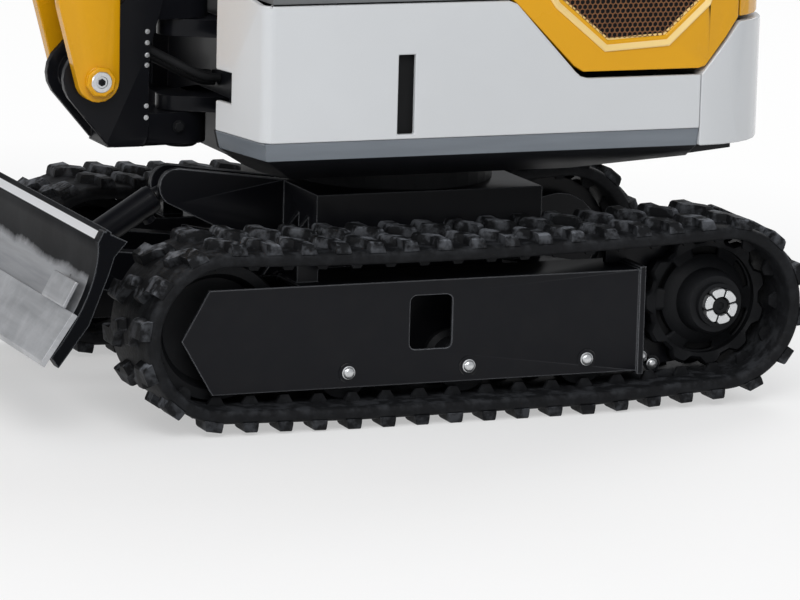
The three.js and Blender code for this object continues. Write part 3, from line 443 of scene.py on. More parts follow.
def blade_paint():
    finish = Finish("blade_paint", coat_roughness=0.2, specular_ior_level=0.02)
    x, y, z = finish.axes()
    forward = finish.axes(finish.normal())[X].above(0.25, 0.3)
    between_ends = 1 - y.size().above(BLADE_END, 0.001)
    board = x.above(BLADE_FRONT, 0.002) * between_ends
    ragged = finish.noise(7.0, 6.0, 0.65)
    low = 1 - z.above(BLADE_LINE, 0.05)
    # A near-white strip under the top edge: a painted highlight of the light that the fold catches.
    highlight_strip = z.above(BLADE_TOP - 0.022, 0.001) * (1 - z.above(BLADE_TOP - 0.009, 0.001))
    highlight_strip = highlight_strip * forward * between_ends
    scraped = ((low + (ragged - 0.5) * 0.9).above(0.45, 0.3) * forward * board).most(highlight_strip)
    # Faint rubbed patches on the board's face, and a painted pale highlight along every sharp edge of the
    # blade.
    rubbed_and_edge_highlight = (forward * board * ragged.above(0.4, 0.4) * 0.08).most(finish.corners(0.004).held() * 0.8)
    streaks = finish.stretched(*SCRAPES)
    steel = finish.blend(streaks, (0.16, 0.165, 0.175), (0.5, 0.51, 0.53))
    steel = finish.blend(highlight_strip, steel, (0.85, 0.86, 0.88))
    black = finish.blend(rubbed_and_edge_highlight, (0.004, 0.0044, 0.0055), (0.16, 0.168, 0.18))
    finish.set(base_color=finish.blend(scraped, black, steel), metallic=scraped * 0.6)
    finish.set(roughness=0.36 + streaks * scraped * 0.2, coat_weight=(1 - scraped) * 0.01)
    return finish.bump(streaks * scraped + finish.noise(400.0, 2.0) * 0.1, 0.0005, 0.4)


BLADE = blade_paint()

# %% [markdown]
# ## Plastics, vinyl and the mesh
# The levers and consoles are moulded with a fine grain. The seat is sewn from vinyl, and its cells are a
# Voronoi pattern. The engine's grille is a pressed sheet, coated in a dark copper brown.

# %% Soft and moulded finishes
def moulded(name, colour, roughness=0.55, cell=700.0):
    finish = Finish(name, specular_ior_level=0.3)
    cells = finish.add("TexVoronoi", out="Distance", Vector=finish.place, Scale=cell)
    drift = finish.noise(8.0, 3.0)
    colour = np.array(colour)
    finish.set(base_color=finish.blend(drift, tuple(colour * 0.85), tuple(colour * 1.15)))
    finish.set(roughness=roughness + drift * 0.12)
    return finish.bump(cells, 0.0004, 0.5)


def floor_mat():
    """Grey rubber with raised round studs: a sine along each axis, and their product cut off."""
    finish = Finish("floor_mat")
    x, y, _ = finish.axes()
    studs = ((x * 210.0).sine() * (y * 210.0).sine()).size().above(0.45, 0.25)
    finish.set(base_color=finish.blend(finish.noise(12.0), (0.10, 0.105, 0.11), (0.17, 0.175, 0.18)))
    finish.set(roughness=0.7 - studs * 0.15)
    return finish.bump(studs, 0.0012, 0.8)


def copper_mesh():
    finish = Finish("grille_mesh", metallic=0.5)
    drift = finish.noise(50.0, 4.0)
    finish.set(base_color=finish.blend(drift, (0.07, 0.028, 0.012), (0.30, 0.135, 0.055)))
    finish.set(roughness=0.34 + drift * 0.2)
    return finish.bump(finish.noise(500.0), 0.0002, 0.3)


PLASTIC = moulded("black_plastic", (0.0095, 0.0099, 0.0108))
VINYL = moulded("seat_vinyl", (0.017, 0.0175, 0.019), 0.42, 480.0)
HOSE = moulded("hose_rubber", (0.010, 0.0105, 0.0115), 0.48, 900.0)
# A near-black finish for painted shade: it goes where the eye would look into a dark hollow, behind the
# grille, the panel slots, the louvres and the sprocket's windows.
PAINTED_SHADE = moulded("painted_shade_dark", (0.004, 0.0042, 0.0048), 0.8, 120.0)
ROOF = moulded("roof_plastic", (0.02, 0.021, 0.023), 0.4, 500.0)
MAT = floor_mat()
MESH = copper_mesh()

# %% [markdown]
# ## Making shapes
# A `Shape` gathers points and faces as arrays. Its main tool is the grid: points worked out over two
# parameters, joined into four-sided faces. A rod, a hose, a wheel and a belt are all grids that close on
# themselves. The outward side is settled once, when the mesh is made.

# %% Shape
def xyz(x, y, z):
    """Points from three coordinates that may be arrays of any matching shapes."""
    return np.stack(np.broadcast_arrays(x, y, z), -1)


def circle(steps):
    """So many even angles round a circle, from 0."""
    return np.linspace(0, 2 * np.pi, steps, endpoint=False)


def weave(rows, columns, along=False):
    """The four corners of every face of a closed band, as point numbers [row, column, corner]."""
    i, j = np.mgrid[0 : rows if along else rows - 1, 0:columns]
    below, beside = (i + 1) % rows * columns, (j + 1) % columns
    return np.stack([i * columns + j, i * columns + beside, below + beside, below + j], -1)


class Shape:
    """Points and faces that grow piece by piece into one mesh."""

    def __init__(self):
        self.points = []
        self.faces = []
        self.count = 0

    def add(self, points, faces):
        points = np.asarray(points, float).reshape(-1, 3)
        self.points.append(points)
        self.faces += (np.asarray(faces) + self.count).tolist()
        self.count += len(points)
        return self

    def grid(self, points, along=False):
        """A closed band of faces over points [i, j], in which the last j meets the first. With along the
        last i meets the first too, and without it the two end rings get a cap."""
        if along:
            return self.add(points, weave(*points.shape[:2], along=True).reshape(-1, 4))
        return self.many(points[None])

    def many(self, points):
        """Several capped grids at once: points[k, i, j] is grid k. All share one pattern of faces."""
        copies, rows, columns = points.shape[:3]
        offsets = np.arange(copies)[:, None, None] * rows * columns
        ring = np.arange(columns)
        caps = np.stack([ring[::-1], ring + (rows - 1) * columns])
        start = self.count
        self.add(points, (weave(rows, columns).reshape(1, -1, 4) + offsets).reshape(-1, 4))
        self.faces += (caps[None] + offsets + start).reshape(-1, columns).tolist()
        return self

    def make(self, name, body, finish, replaces=(), **looks):
        """The mesh as an object that rides on a body, or on none."""
        mesh = bpy.data.meshes.new(name)
        mesh.from_pydata(np.concatenate(self.points).tolist(), [], self.faces)
        return settle(name, mesh, body, finish, replaces, **looks)


def settle(name, mesh, body, finish, replaces=(), sharp=32, bevel=0.0, segments=2, outward=True, slot=None):
    """Merges doubles, turns faces outward, shades smooth below the sharp angle, and rounds edges."""
    work = bmesh.new()
    work.from_mesh(mesh)
    bmesh.ops.remove_doubles(work, verts=work.verts, dist=2e-6)
    if outward:
        bmesh.ops.recalc_face_normals(work, faces=work.faces)
    work.to_mesh(mesh)
    work.free()
    mesh.shade_smooth()
    mesh.set_sharp_from_angle(angle=math.radians(sharp))
    mesh.materials.clear()
    mesh.materials.append(finish.material)
    piece = bpy.data.objects.new(name, mesh)
    bpy.context.scene.collection.objects.link(piece)
    if bevel:
        rounding = piece.modifiers.new("edges", "BEVEL")
        rounding.width = bevel
        rounding.segments = segments
        rounding.limit_method = "ANGLE"
        rounding.angle_limit = math.radians(sharp)
        rounding.use_clamp_overlap = False
        rounding.harden_normals = True
    if body:
        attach(piece, body)
    if replaces:
        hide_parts(*replaces)
    return piece


def thickened(piece, thickness):
    """The piece with a wall of this thickness about its sheet."""
    wall = piece.modifiers.new("wall", "SOLIDIFY")
    wall.thickness = thickness
    wall.offset = 0
    return piece


def piece(name, body, finish, grids, replaces=(), along=False, **looks):
    """An object made of one capped grid or a list of them. With along each is a ring that closes."""
    shape = Shape()
    for points in grids if isinstance(grids, list) else [grids]:
        shape.grid(points, along)
    return shape.make(name, body, finish, replaces, **looks)


# %% [markdown]
# ## Rods, wheels and bolts
# A tube is a circle carried along a path. A lathe turns a profile of radius and height about an axis,
# and with six sides it turns a bolt's head. A slab is an outline between two planes.

# %% Round and flat shapes
def tube(path, radius, sides=12, guide=(0, 0, 1)):
    """Rings of points about a path. Each ring lies across the path's tangent, with one arm across the
    guide: ring = path + radius * (side * cos a + up * sin a)."""
    path = np.asarray(path, float)
    along = unit(np.gradient(path, axis=0))
    side = unit(np.cross(along, np.broadcast_to(guide, along.shape)))
    up = np.cross(side, along)
    a = circle(sides)[None, :, None]
    return path[:, None] + radius * (side[:, None] * np.cos(a) + up[:, None] * np.sin(a))


def lathe(profile, centre, axis=(0, 1, 0), sides=32, start=0.0):
    """Rings of points about an axis through the centre: each profile point is (radius, height)."""
    axis = unit(axis)
    first = unit(np.cross(axis, (0, 0, 1) if abs(axis[Z]) < 0.9 else (1, 0, 0)))
    second = np.cross(axis, first)
    a = start + circle(sides)[None, :, None]
    radius, height = np.asarray(profile, float).T[:, :, None, None]
    return np.asarray(centre) + radius * (first * np.cos(a) + second * np.sin(a)) + height * axis


def two_sided(half):
    """A profile that ends where its own mirror image begins."""
    return half + [(radius, -height) for radius, height in half[::-1]]


def curve_through(points, steps=12):
    """A smooth line through the points: on each stretch the Catmull-Rom cubic of four neighbours."""
    p = np.asarray(points, float)
    p = np.vstack([2 * p[0] - p[1], p, 2 * p[-1] - p[-2]])
    t = np.linspace(0, 1, steps, endpoint=False)[None, :, None]
    a, b, c, d = (p[k : len(p) - 3 + k, None] for k in range(4))
    cubic = 0.5 * (2 * b + (c - a) * t + (2 * a - 5 * b + 4 * c - d) * t**2 + (3 * b - a - 3 * c + d) * t**3)
    return np.vstack([cubic.reshape(-1, 3), p[-2:-1]])


def slab(outline, low, high, axis=Y):
    """An outline in the two other axes, as two rings at low and high along the axis."""
    rings = np.empty((2, len(outline), 3))
    rings[:, :, [k for k in (X, Y, Z) if k != axis]] = outline
    rings[:, :, axis] = np.array([low, high])[:, None]
    return rings


def brick(x0, x1, y0, y1, z0, z1):
    """A slab with a square outline."""
    return slab([(x0, z0), (x1, z0), (x1, z1), (x0, z1)], y0, y1)


def bolt_row(name, body, places, axis, size=0.008, finish=ZINC):
    """Six-sided heads with washers at the places, all facing along the axis. Size is the radius to a
    head's corners."""
    row = []
    tall = size * 0.75
    rim = [(0, 0), (size * 1.25, 0), (size * 1.25, tall * 0.15), (0, tall * 0.15)]
    head = [(0, tall * 0.1), (size, tall * 0.1), (size, tall * 0.86), (size * 0.84, tall), (0, tall)]
    for place in places:
        row += [lathe(rim, place, axis, 24), lathe(head, place, axis, 6, 0.3)]
    piece(name, body, finish, row, sharp=30, slot="worn_steel")


# %% [markdown]
# ## Rounding the frame's own pieces
# Sheet metal and castings never have a razor edge. A merged copy of each plain node gets its flat faces
# joined, and a narrow bevel, whose highlight is what makes an edge readable. The copy stands for the
# node, and keeps its size.

# %% Rounded copies
def rounded(node, finish, bevel, segments=2):
    """A copy of a node with doubles merged, coplanar faces dissolved and edges bevelled."""
    source = frame["nodes"][node]
    mesh = source.data.copy()
    work = bmesh.new()
    work.from_mesh(mesh)
    bmesh.ops.remove_doubles(work, verts=work.verts, dist=2e-5)
    bmesh.ops.dissolve_limit(work, angle_limit=math.radians(0.3), verts=work.verts, edges=work.edges)
    bmesh.ops.triangulate(work, faces=[face for face in work.faces if len(face.verts) > 4])
    work.to_mesh(mesh)
    work.free()
    settle(node + "_finished", mesh, source["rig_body"], finish, (node,), bevel=bevel, segments=segments)


def bucket_paint():
    """Working yellow that gives way to bare steel on the teeth and over the first stretch behind them."""
    finish = paint("bucket_paint", (0.66, 0.31, 0.008), 0.33, dust=0.15, wear=0.8)
    painted = Value(finish.shader.inputs["Base Color"].links[0].from_socket)
    lip = edges("bucket")[LOW, X]
    x, _, z = finish.axes()
    ragged = finish.noise(24.0, 6.0, 0.65)
    bare = (1 - (x + ragged * 0.05).above(lip + 0.068, 0.02)) * z.above(middle("bucket")[Z] - 0.06, 0.03)
    inside = ragged.above(0.5, 0.08) * 0.55
    bare = (bare + inside * (1 - x.above(lip + 0.3, 0.1))).held()
    streaks = finish.stretched(40.0, 8.0, 40.0, 5.0, 0.6)
    steel = finish.blend(streaks, (0.10, 0.10, 0.105), (0.34, 0.34, 0.35))
    finish.set(base_color=finish.blend(bare, painted, steel), metallic=bare * 0.7)
    return finish


ROUNDED = [
    (BLACK, 0.0015, "swing_post front_frame bulkhead seat_base canopy_frame rocker_link push_link"),
    (WHITE, 0.003, "side_panel_left side_panel_right counterweight"),
    (YELLOW, 0.003, "rear_hood engine_cover_left engine_cover_right engine_top_cover boom arm"),
    (STEEL, 0.001, "cutting_edge"),
    (FRAME_BLACK, 0.0015, "track_frame_left track_frame_right car_body"),
    (BLADE, 0.001, "blade"),
    (DECK, 0.002, "house_deck"),
    (bucket_paint(), 0.0015, "bucket"),
]
for finish, bevel, nodes in ROUNDED:
    for node in nodes.split():
        rounded(node, finish, bevel)
rounded("canopy_roof", ROOF, 0.006, segments=3)
print("rounded copies:", sum(len(nodes.split()) for *_, nodes in ROUNDED) + 1)

# %% [markdown]
# ## Plain nodes that keep their shape
# The slewing ring, the motors, the engine, the floor and the grille's backing are right as they are, so
# they only get their finishes.

# %% Finishes on plain nodes
PLAIN = [
    (CAST, "slew_ring travel_motor_left travel_motor_right engine_block"),
    # The grille's backing gets the near-black finish: painted shade of the engine bay behind the mesh.
    (PAINTED_SHADE, "grille_left grille_right"),
    (MAT, "floor_plate"),
]
for finish, nodes in PLAIN:
    for node in nodes.split():
        slots = frame["nodes"][node].data.materials
        slots.clear()
        slots.append(finish.material)

# %% [markdown]
# ## The line that a track follows
# A belt is a closed line round the front idler, the rear sprocket and the rollers on the ground. Between
# two wheels it is straight, and round a wheel it is an arc. The top run hangs a little, as a parabola.
# The line is sampled, then spaced evenly along its length, so that any length along it gives a place and
# an outward direction by plain interpolation.

# %% Track line
BELT_THICK = 0.027
LUG_HEIGHT = 0.017
CREST = BELT_THICK + LUG_HEIGHT
PITCHES = 42
SAG = 0.012
STATIONS = 420


def wheels_of(side):
    """Centre and radius of what carries the belt's inner face, in the order of its run."""
    wheels = []
    for node in (f"roller_{side}_1", f"roller_{side}_3", f"idler_{side}", f"sprocket_{side}"):
        x, _, z = middle(node)
        wheels.append((x, z, z - CREST if "roller" in node else np.ptp(edges(node)[:, Z]) / 2 + 0.0013))
    return np.array(wheels)


def track_line(side, steps=60):
    """A function that carries flat coordinates onto a belt, and the belt's length. The function takes s
    along the belt, y across the machine and out from its inner face: place = line(s) + out * outward(s)."""
    wheels = wheels_of(side)
    gap = np.roll(wheels, -1, axis=0) - wheels
    leave = np.arctan2(gap[:, 1], gap[:, 0]) - np.arccos(-gap[:, 2] / np.hypot(gap[:, 0], gap[:, 1]))
    arrive = np.roll(leave, 1)
    angles = arrive[:, None] + ((leave - arrive) % (2 * np.pi))[:, None] * np.linspace(0, 1, steps)
    arcs = wheels[:, None, :2] + wheels[:, 2, None, None] * np.stack([np.cos(angles), np.sin(angles)], -1)
    t = np.linspace(0, 1, steps)[1:-1, None]
    hang = arcs[2, -1] * (1 - t) + arcs[3, 0] * t - np.array([0, 4 * SAG]) * t * (1 - t)
    bends = np.vstack([*arcs[:3], hang, arcs[3], arcs[0, :1]])
    so_far = np.concatenate([[0], np.cumsum(np.linalg.norm(np.diff(bends, axis=0), axis=1))])
    length = so_far[-1]
    even = np.linspace(0, length, 2 * STATIONS + 1)
    line = np.stack([np.interp(even, so_far, bends[:, k]) for k in (0, 1)], -1)
    along = np.roll(line[:-1], -1, axis=0) - np.roll(line[:-1], 1, axis=0)
    along = unit(np.vstack([along, along[:1]]))

    def wrap(s, y, out):
        columns = (line[:, 0], line[:, 1], along[:, 1], -along[:, 0])
        x, z, out_x, out_z = (np.interp(np.mod(s, length), even, values) for values in columns)
        return xyz(x + out_x * out, y, z + out_z * out)

    return wrap, length


# %% [markdown]
# ## Belts and lugs
# The belt is a flat profile with rounded shoulders carried along the line. Each pitch has two lugs, one
# from each edge, half a pitch apart. A lug is a block with a foot that reaches aside at the belt's
# middle. It is drawn flat, as four rings one above the other, and wrapped. Inside, steel teeth covered in
# rubber keep the belt on its rollers.

# %% Tracks
BELT_SIDE = [(0.108, 0.001), (0.113, 0.004), (0.115, 0.010), (0.115, 0.019), (0.112, 0.024),
             (0.105, BELT_THICK)]
BELT_PROFILE = BELT_SIDE + [(-across, out) for across, out in BELT_SIDE[::-1]]
LUG_PLAN = np.array([(-0.0145, 0.1145), (0.0145, 0.1145), (0.0150, 0.070), (0.0330, 0.048), (0.0345, 0.020),
                     (0.0180, 0.012), (0.0100, 0.032), (-0.0150, 0.058)])
LUG_RINGS = [(BELT_THICK - 0.003, 1.10), (BELT_THICK + 0.003, 1.03), (CREST - 0.0035, 0.90),
             (CREST - 0.0002, 0.78)]
TOOTH_RINGS = [(0.017, 0.005, 0.004), (0.015, 0.005, -0.004), (0.008, 0.003, -0.016)]


def belt(shape, middle_y, wrap, length):
    """The profile (across, out) swept along the whole line, closed both ways, with a rib along each
    edge face."""
    s = np.arange(STATIONS)[:, None] * length / STATIONS
    across, out = np.array(BELT_PROFILE).T[:, None, :]
    shape.grid(wrap(s, middle_y + across, out), along=True)
    a = circle(6)
    for edge in (-1, 1):
        rib_y = middle_y + edge * 0.1126 + 0.0022 * np.cos(a)
        shape.grid(wrap(s, rib_y, 0.0125 + 0.003 * np.sin(a)), along=True)


def lugs(shape, middle_y, wrap, length):
    """Every lug of a belt at once: rings of (out, growth) from the foot to the crest, each narrower."""
    centre = LUG_PLAN.mean(0)
    out, grow = np.array(LUG_RINGS).T[:, :, None]
    growth = np.stack([grow, np.minimum(grow, 1.0) * 0.5 + 0.5], -1)
    flat = centre + (LUG_PLAN - centre) * growth
    for row in (-1, 1):
        start = (np.arange(PITCHES) + (0.25 if row > 0 else 0.75)) * length / PITCHES
        s = start[:, None, None] - row * flat[..., 0]
        shape.many(wrap(s, middle_y + row * np.minimum(flat[..., 1], 0.1148), out))


def inner_teeth(shape, middle_y, wrap, length):
    """Two rows of blunt teeth inside the belt: rings of (half length, half width, out)."""
    half = np.array(TOOTH_RINGS)[:, None]
    s = (np.arange(PITCHES) * length / PITCHES)[:, None, None] + half[..., 0] * (-1, 1, 1, -1)
    for row in (-1, 1):
        shape.many(wrap(s, middle_y + row * 0.0515 + half[..., 1] * (-1, -1, 1, 1), half[..., 2]))


for name, side in SIDES:
    wrap, length = track_line(name)
    middle_y = middle(f"track_{name}")[Y]
    body, tread = Shape(), Shape()
    belt(body, middle_y, wrap, length)
    inner_teeth(body, middle_y, wrap, length)
    lugs(tread, middle_y, wrap, length)
    body.make(f"belt_{name}", "undercarriage", RUBBER, (f"track_{name}",), sharp=50)
    lugged = tread.make(f"tread_{name}", "undercarriage", LUG_RUBBER, sharp=28)
    print(lugged.name, len(lugged.data.polygons), "faces, belt", round(length, 3), "m")

# %% [markdown]
# ## Sprockets, idlers and rollers
# The rear wheel drives: it has blunt teeth, a dished web with windows, a black hub and a bright nut. The
# web is a polar grid whose faces are left out where a window is, so it takes its thickness from a
# Solidify modifier.

# %% Sprockets
TEETH = 11
TOOTH_DEPTH = 0.007
WINDOWS = 6
MOTOR_BRACKET = 0.30
HUB = [(0, 0), (0.090, 0.0), (0.090, 0.020), (0.080, 0.030), (0.066, 0.036), (0.062, 0.070), (0.056, 0.078),
       (0.044, 0.079), (0.043, 0.090), (0.036, 0.0915), (0.034, 0.084), (0, 0.084)]
SOCKET = [(0, 0.086), (0.0185, 0.086), (0.0185, 0.098), (0.013, 0.100), (0.0085, 0.1), (0.008, 0.096),
          (0, 0.096)]


def toothed_ring(centre, y_near, y_far, outer, inner, steps=132):
    """A ring with blunt teeth: outside radius = mean + depth * clipped cosine of the tooth angle."""
    a = circle(steps)
    crest = outer - TOOTH_DEPTH + TOOTH_DEPTH * np.clip(1.8 * np.cos(TEETH * a), -1, 1)
    rims = [(inner, y_near + 0.004), (crest - 0.006, y_near), (crest, y_near + 0.005), (crest, y_far - 0.005),
            (crest - 0.006, y_far), (inner, y_far - 0.004)]
    return np.stack([xyz(centre[X] + r * np.cos(a), y, centre[Z] + r * np.sin(a)) for r, y in rims])


def windowed_web(centre, side, inner, outer, dish, rings=10, steps=96):
    """A dished disc with windows: face rows between two radii, without those inside a window."""
    r = np.linspace(inner, outer, rings + 1)[:, None]
    a = circle(steps)
    y = centre[Y] + side * dish * np.cos(np.pi * (r - inner) / (outer - inner))
    points = xyz(centre[X] + r * np.cos(a), y, centre[Z] + r * np.sin(a))
    i, j = np.mgrid[0:rings, 0:steps]
    share = (j * WINDOWS / steps) % 1
    solid = (i < 3) | (i > 7) | (share <= 0.22) | (share >= 0.78)
    return points, weave(rings + 1, steps)[solid]


def castle_lobes(centre, side):
    """Six rounded lobes in a ring, like a castle nut: each is a sector between two radii, 54 degrees
    wide, as two rings of points along the axle."""
    a = np.radians(np.linspace(-27.0, 27.0, 7))
    radius = np.repeat([0.0355, 0.0185], 7)
    radius[[0, 6]] -= 0.003
    turn = np.concatenate([a, a[::-1] * 0.94]) + np.radians(60) * np.arange(6)[:, None, None] + 0.3
    y = centre[Y] + side * np.array([0.084, 0.105])[:, None]
    return xyz(centre[X] + radius * np.cos(turn), y, centre[Z] + radius * np.sin(turn))


for name, side in SIDES:
    x, _, z = middle(f"sprocket_{name}")
    box = edges(f"sprocket_{name}")
    inside = box[HIGH if side > 0 else LOW, Y] - side * 0.116
    hub, axle = (x, inside, z), (0, side, 0)
    near, far = sorted((inside, inside + side * 0.033))
    wheel = Shape().grid(toothed_ring(hub, near, far, np.ptp(box[:, Z]) / 2 - 0.001, 0.108), along=True)
    wheel.grid(lathe(HUB, hub, axle, 48))
    wheel.make(f"drive_wheel_{name}", "undercarriage", CAST, (f"sprocket_{name}",), sharp=40)
    points, faces = windowed_web((x, inside + side * 0.018, z), side, 0.060, 0.116, 0.008)
    web = Shape().add(points, faces)
    thickened(web.make(f"drive_web_{name}", "undercarriage", CAST, sharp=50), 0.008)
    # A near-black disc behind the web: painted shade seen through its windows.
    shade_disc = lathe([(0, 0), (0.118, 0), (0.118, 0.003), (0, 0.003)], hub, axle, 48)
    piece(f"drive_shade_disc_{name}", "undercarriage", PAINTED_SHADE, shade_disc, slot="cast_parts", sharp=40)
    nut = Shape().many(castle_lobes(hub, side))
    nut.make(f"hub_nut_{name}", "undercarriage", ZINC, sharp=30, bevel=0.0018, segments=3)
    socket = lathe(SOCKET, hub, axle, 6, 0.5)
    piece(f"hub_socket_{name}", "undercarriage", CAST, socket, sharp=30, bevel=0.0006)
    turn = np.linspace(0.5 * np.pi, 1.5 * np.pi, 25)
    bow = np.stack([x + 0.124 * np.cos(turn), z + 0.124 * np.sin(turn)], -1)
    frame_end = edges(f"track_frame_{name}")[LOW, X] + MOTOR_BRACKET
    bracket = slab([*bow, (frame_end, z - 0.143), (frame_end, z + 0.108)], side * 0.353, side * 0.3665)
    piece(f"motor_bracket_{name}", "undercarriage", BLACK, bracket, sharp=30, bevel=0.0015)

# %% [markdown]
# The idler is a plain cast wheel with a raised rib that runs between the belt's teeth. Each roller has a
# flange at both sides of its tread.

# %% Idlers and rollers
def turned_wheel(name, node, profile_of, sides):
    """A wheel in a node's place, from half a profile as a function of its radius and half width."""
    radius, half = np.ptp(edges(node)[:, Z]) / 2, np.ptp(edges(node)[:, Y]) / 2
    wheel = lathe(two_sided(profile_of(radius, half)), middle(node), (0, 1, 0), sides)
    piece(name, "undercarriage", CAST, wheel, (node,), sharp=40)


def idler_profile(radius, half):
    return [(0, -half), (0.024, -half), (0.024, -0.036), (0.040, -0.034), (0.044, -0.014), (0.100, -0.010),
            (0.112, -0.033), (radius - 0.004, -0.033), (radius, -0.028)]


def roller_profile(radius, half):
    return [(0, -half), (0.015, -half), (0.015, -0.045), (0.030, -0.044), (radius, -0.040), (radius, -0.026),
            (0.043, -0.020)]


for name, _ in SIDES:
    turned_wheel(f"idler_wheel_{name}", f"idler_{name}", idler_profile, 56)
    for k in (1, 2, 3):
        turned_wheel(f"roller_{name}_{k}_wheel", f"roller_{name}_{k}", roller_profile, 40)

# %% [markdown]
# ## Bolts on the track frames
# Every roller's axle is held by one zinc bolt through the side plate, with a black washer under its
# domed head. Two more hold the drive motor's bracket, low beside the sprocket.

# %% Track bolts
def domed_bolt(centre, side, size=0.0115):
    """A flanged bolt with a low dome, whose height follows a quarter of a sine, and a black washer."""
    a = np.linspace(0, np.pi / 2, 6)[1:]
    dome = np.stack([size * np.cos(a), 0.0035 + size * 0.55 * np.sin(a)], -1)
    profile = [(0, 0), (size * 1.15, 0.0), (size * 1.15, 0.0028), (size, 0.0035), *dome.tolist()]
    washer = [(0, 0), (size * 1.7, 0), (size * 1.7, 0.0016), (0, 0.0016)]
    return lathe(profile, centre, (0, side, 0), 24), lathe(washer, centre, (0, side, 0), 24)


for name, side in SIDES:
    bolts = []
    for k in (1, 2, 3):
        x, _, z = middle(f"roller_{name}_{k}")
        bolts.append(domed_bolt((x, side * 0.450, z), side))
    x, _, z = middle(f"sprocket_{name}")
    for forward, down in ((0.135, 0.108), (0.112, 0.124)):
        bolts.append(domed_bolt((x + forward, side * 0.398, z - down), side, 0.010))
    piece(f"frame_bolts_{name}", "undercarriage", ZINC, [bright for bright, _ in bolts], sharp=45)
    piece(f"frame_washers_{name}", "undercarriage", BLACK, [dark for _, dark in bolts], sharp=45)

# %% [markdown]
# ## The honeycomb grille
# A pressed mesh of six-sided cells closes the engine's air intake. Cell centres lie on two shifted
# lattices. Each cell is a ring between two hexagons, so a cell costs six faces, and Solidify gives the
# sheet its thickness. A cell is kept if its centre lies inside the opening.

# %% Grille
def coordinates(mesh):
    """The points of a mesh as an array with three columns."""
    co = np.empty(len(mesh.vertices) * 3)
    mesh.vertices.foreach_get("co", co)
    return co.reshape(-1, 3)


def inside_outline(points, outline):
    """Which points lie inside a closed outline: those whose ray to the right crosses it an odd number
    of times."""
    a, b = outline, np.roll(outline, -1, axis=0)
    x, z = points[:, 0, None], points[:, 1, None]
    straddles = (a[:, 1] > z) != (b[:, 1] > z)
    cross = (b[:, 0] - a[:, 0]) * (z - a[:, 1]) / (b[:, 1] - a[:, 1] + 1e-12) + a[:, 0]
    return (straddles & (x < cross)).sum(1) % 2 == 1


def node_outline(node):
    """The corners of a plate seen from the side, in order round its middle."""
    flat = np.unique(np.round(coordinates(frame["nodes"][node].data)[:, [X, Z]], 5), axis=0)
    out = flat - flat.mean(0)
    return flat[np.argsort(np.arctan2(out[:, 1], out[:, 0]))]


def honeycomb(outline, y, cell, bar_width):
    """Rings between hexagons of radius cell and cell - bar_width, on both lattices of the cells."""
    low, high = outline.min(0), outline.max(0)
    step = np.array([cell * np.sqrt(3), cell * 3])
    counts = np.ceil((high - low) / step).astype(int) + 1
    base = low + np.stack(np.mgrid[0 : counts[0], 0 : counts[1]], -1).reshape(-1, 2) * step
    centres = np.vstack([base, base + step / 2])
    centres = centres[inside_outline(centres, outline)]
    a = np.pi / 6 + np.arange(6) * np.pi / 3
    spokes = np.stack([np.cos(a), np.sin(a)], -1)
    rings = centres[:, None, None] + np.array([cell, cell - bar_width])[:, None, None] * spokes
    points = xyz(rings[..., 0], y, rings[..., 1])
    k = np.arange(6)
    faces = np.stack([k, (k + 1) % 6, (k + 1) % 6 + 6, k + 6], -1)
    return points, (faces + 12 * np.arange(len(centres))[:, None, None]).reshape(-1, 4)


def outer_face(node, side):
    """The y of a node's face that looks away from the machine's middle."""
    return edges(node)[HIGH if side > 0 else LOW, Y]


for name, side in SIDES:
    y = outer_face(f"grille_{name}", side) + side * 0.0015
    points, faces = honeycomb(node_outline(f"grille_{name}"), y, 0.0062, 0.0013)
    sheet = Shape().add(points, faces)
    thickened(sheet.make(f"honeycomb_{name}", "house", MESH, sharp=40), 0.0016)
    print(f"honeycomb_{name}", len(faces) // 6, "cells")

# %% [markdown]
# A bevelled lip frames the opening. Its profile is a sloping band: low against the mesh, high against
# the cover. It is carried along the outline, and each corner takes the mean of its two directions.

# %% Grille lips
def along_outline(outline, offsets, heights, side, y):
    """A band carried round a closed outline: ring k lies offsets[k] outside it and heights[k] out in y."""
    before = outline - np.roll(outline, 1, axis=0)
    normals = [unit(np.stack([d[:, 1], -d[:, 0]], -1)) for d in (before, np.roll(before, -1, axis=0))]
    mitre = normals[0] + normals[1]
    mitre /= (mitre * normals[0]).sum(1, keepdims=True)
    flat = outline + np.asarray(offsets)[:, None, None] * mitre
    return xyz(flat[..., 0], y + side * np.asarray(heights)[:, None], flat[..., 1])


LIP_OFFSETS = (-0.006, 0.007, 0.019, 0.022, 0.022, -0.006)
LIP_HEIGHTS = (-0.006, -0.0008, 0.0045, 0.0025, -0.003, -0.008)
COVER_Y = {"left": outer_face("engine_cover_left", 1), "right": -0.467}
for name, side in SIDES:
    band = along_outline(node_outline(f"grille_{name}"), LIP_OFFSETS, LIP_HEIGHTS, side, COVER_Y[name])
    # The lip is painted a paler yellow: a painted highlight.
    piece(f"grille_lip_{name}", "house", HIGHLIGHT_YELLOW, band, along=True, sharp=30, bevel=0.001)

# %% [markdown]
# ## Behind the slots
# The side panels have a long slot for a tie, and a notch at the inner edge. Near-black liners behind them are
# painted shade: they stand for the dark inside and stop the eye from passing through the hollow house.

# %% Liners
RAIL_TOP = edges("side_panel_left")[LOW, Z]
SLOT_X = SLEW_X + 0.162
for name, side in SIDES:
    wall = side * (edges("side_panel_left")[HIGH, Y] - 0.016)
    span = wall - side * 0.003, wall
    slot = brick(SLOT_X - 0.03, SLOT_X + 0.03, *span, RAIL_TOP + 0.004, RAIL_TOP + 0.18)
    notch = [(SLEW_X + x, side * y) for x, y in ((0.405, 0.30), (0.452, 0.30), (0.448, 0.36), (0.405, 0.36))]
    notch = slab(notch, RAIL_TOP + 0.045, RAIL_TOP + 0.13, axis=Z)
    piece(f"panel_shade_liner_{name}", "house", PAINTED_SHADE, [slot, notch], sharp=30)

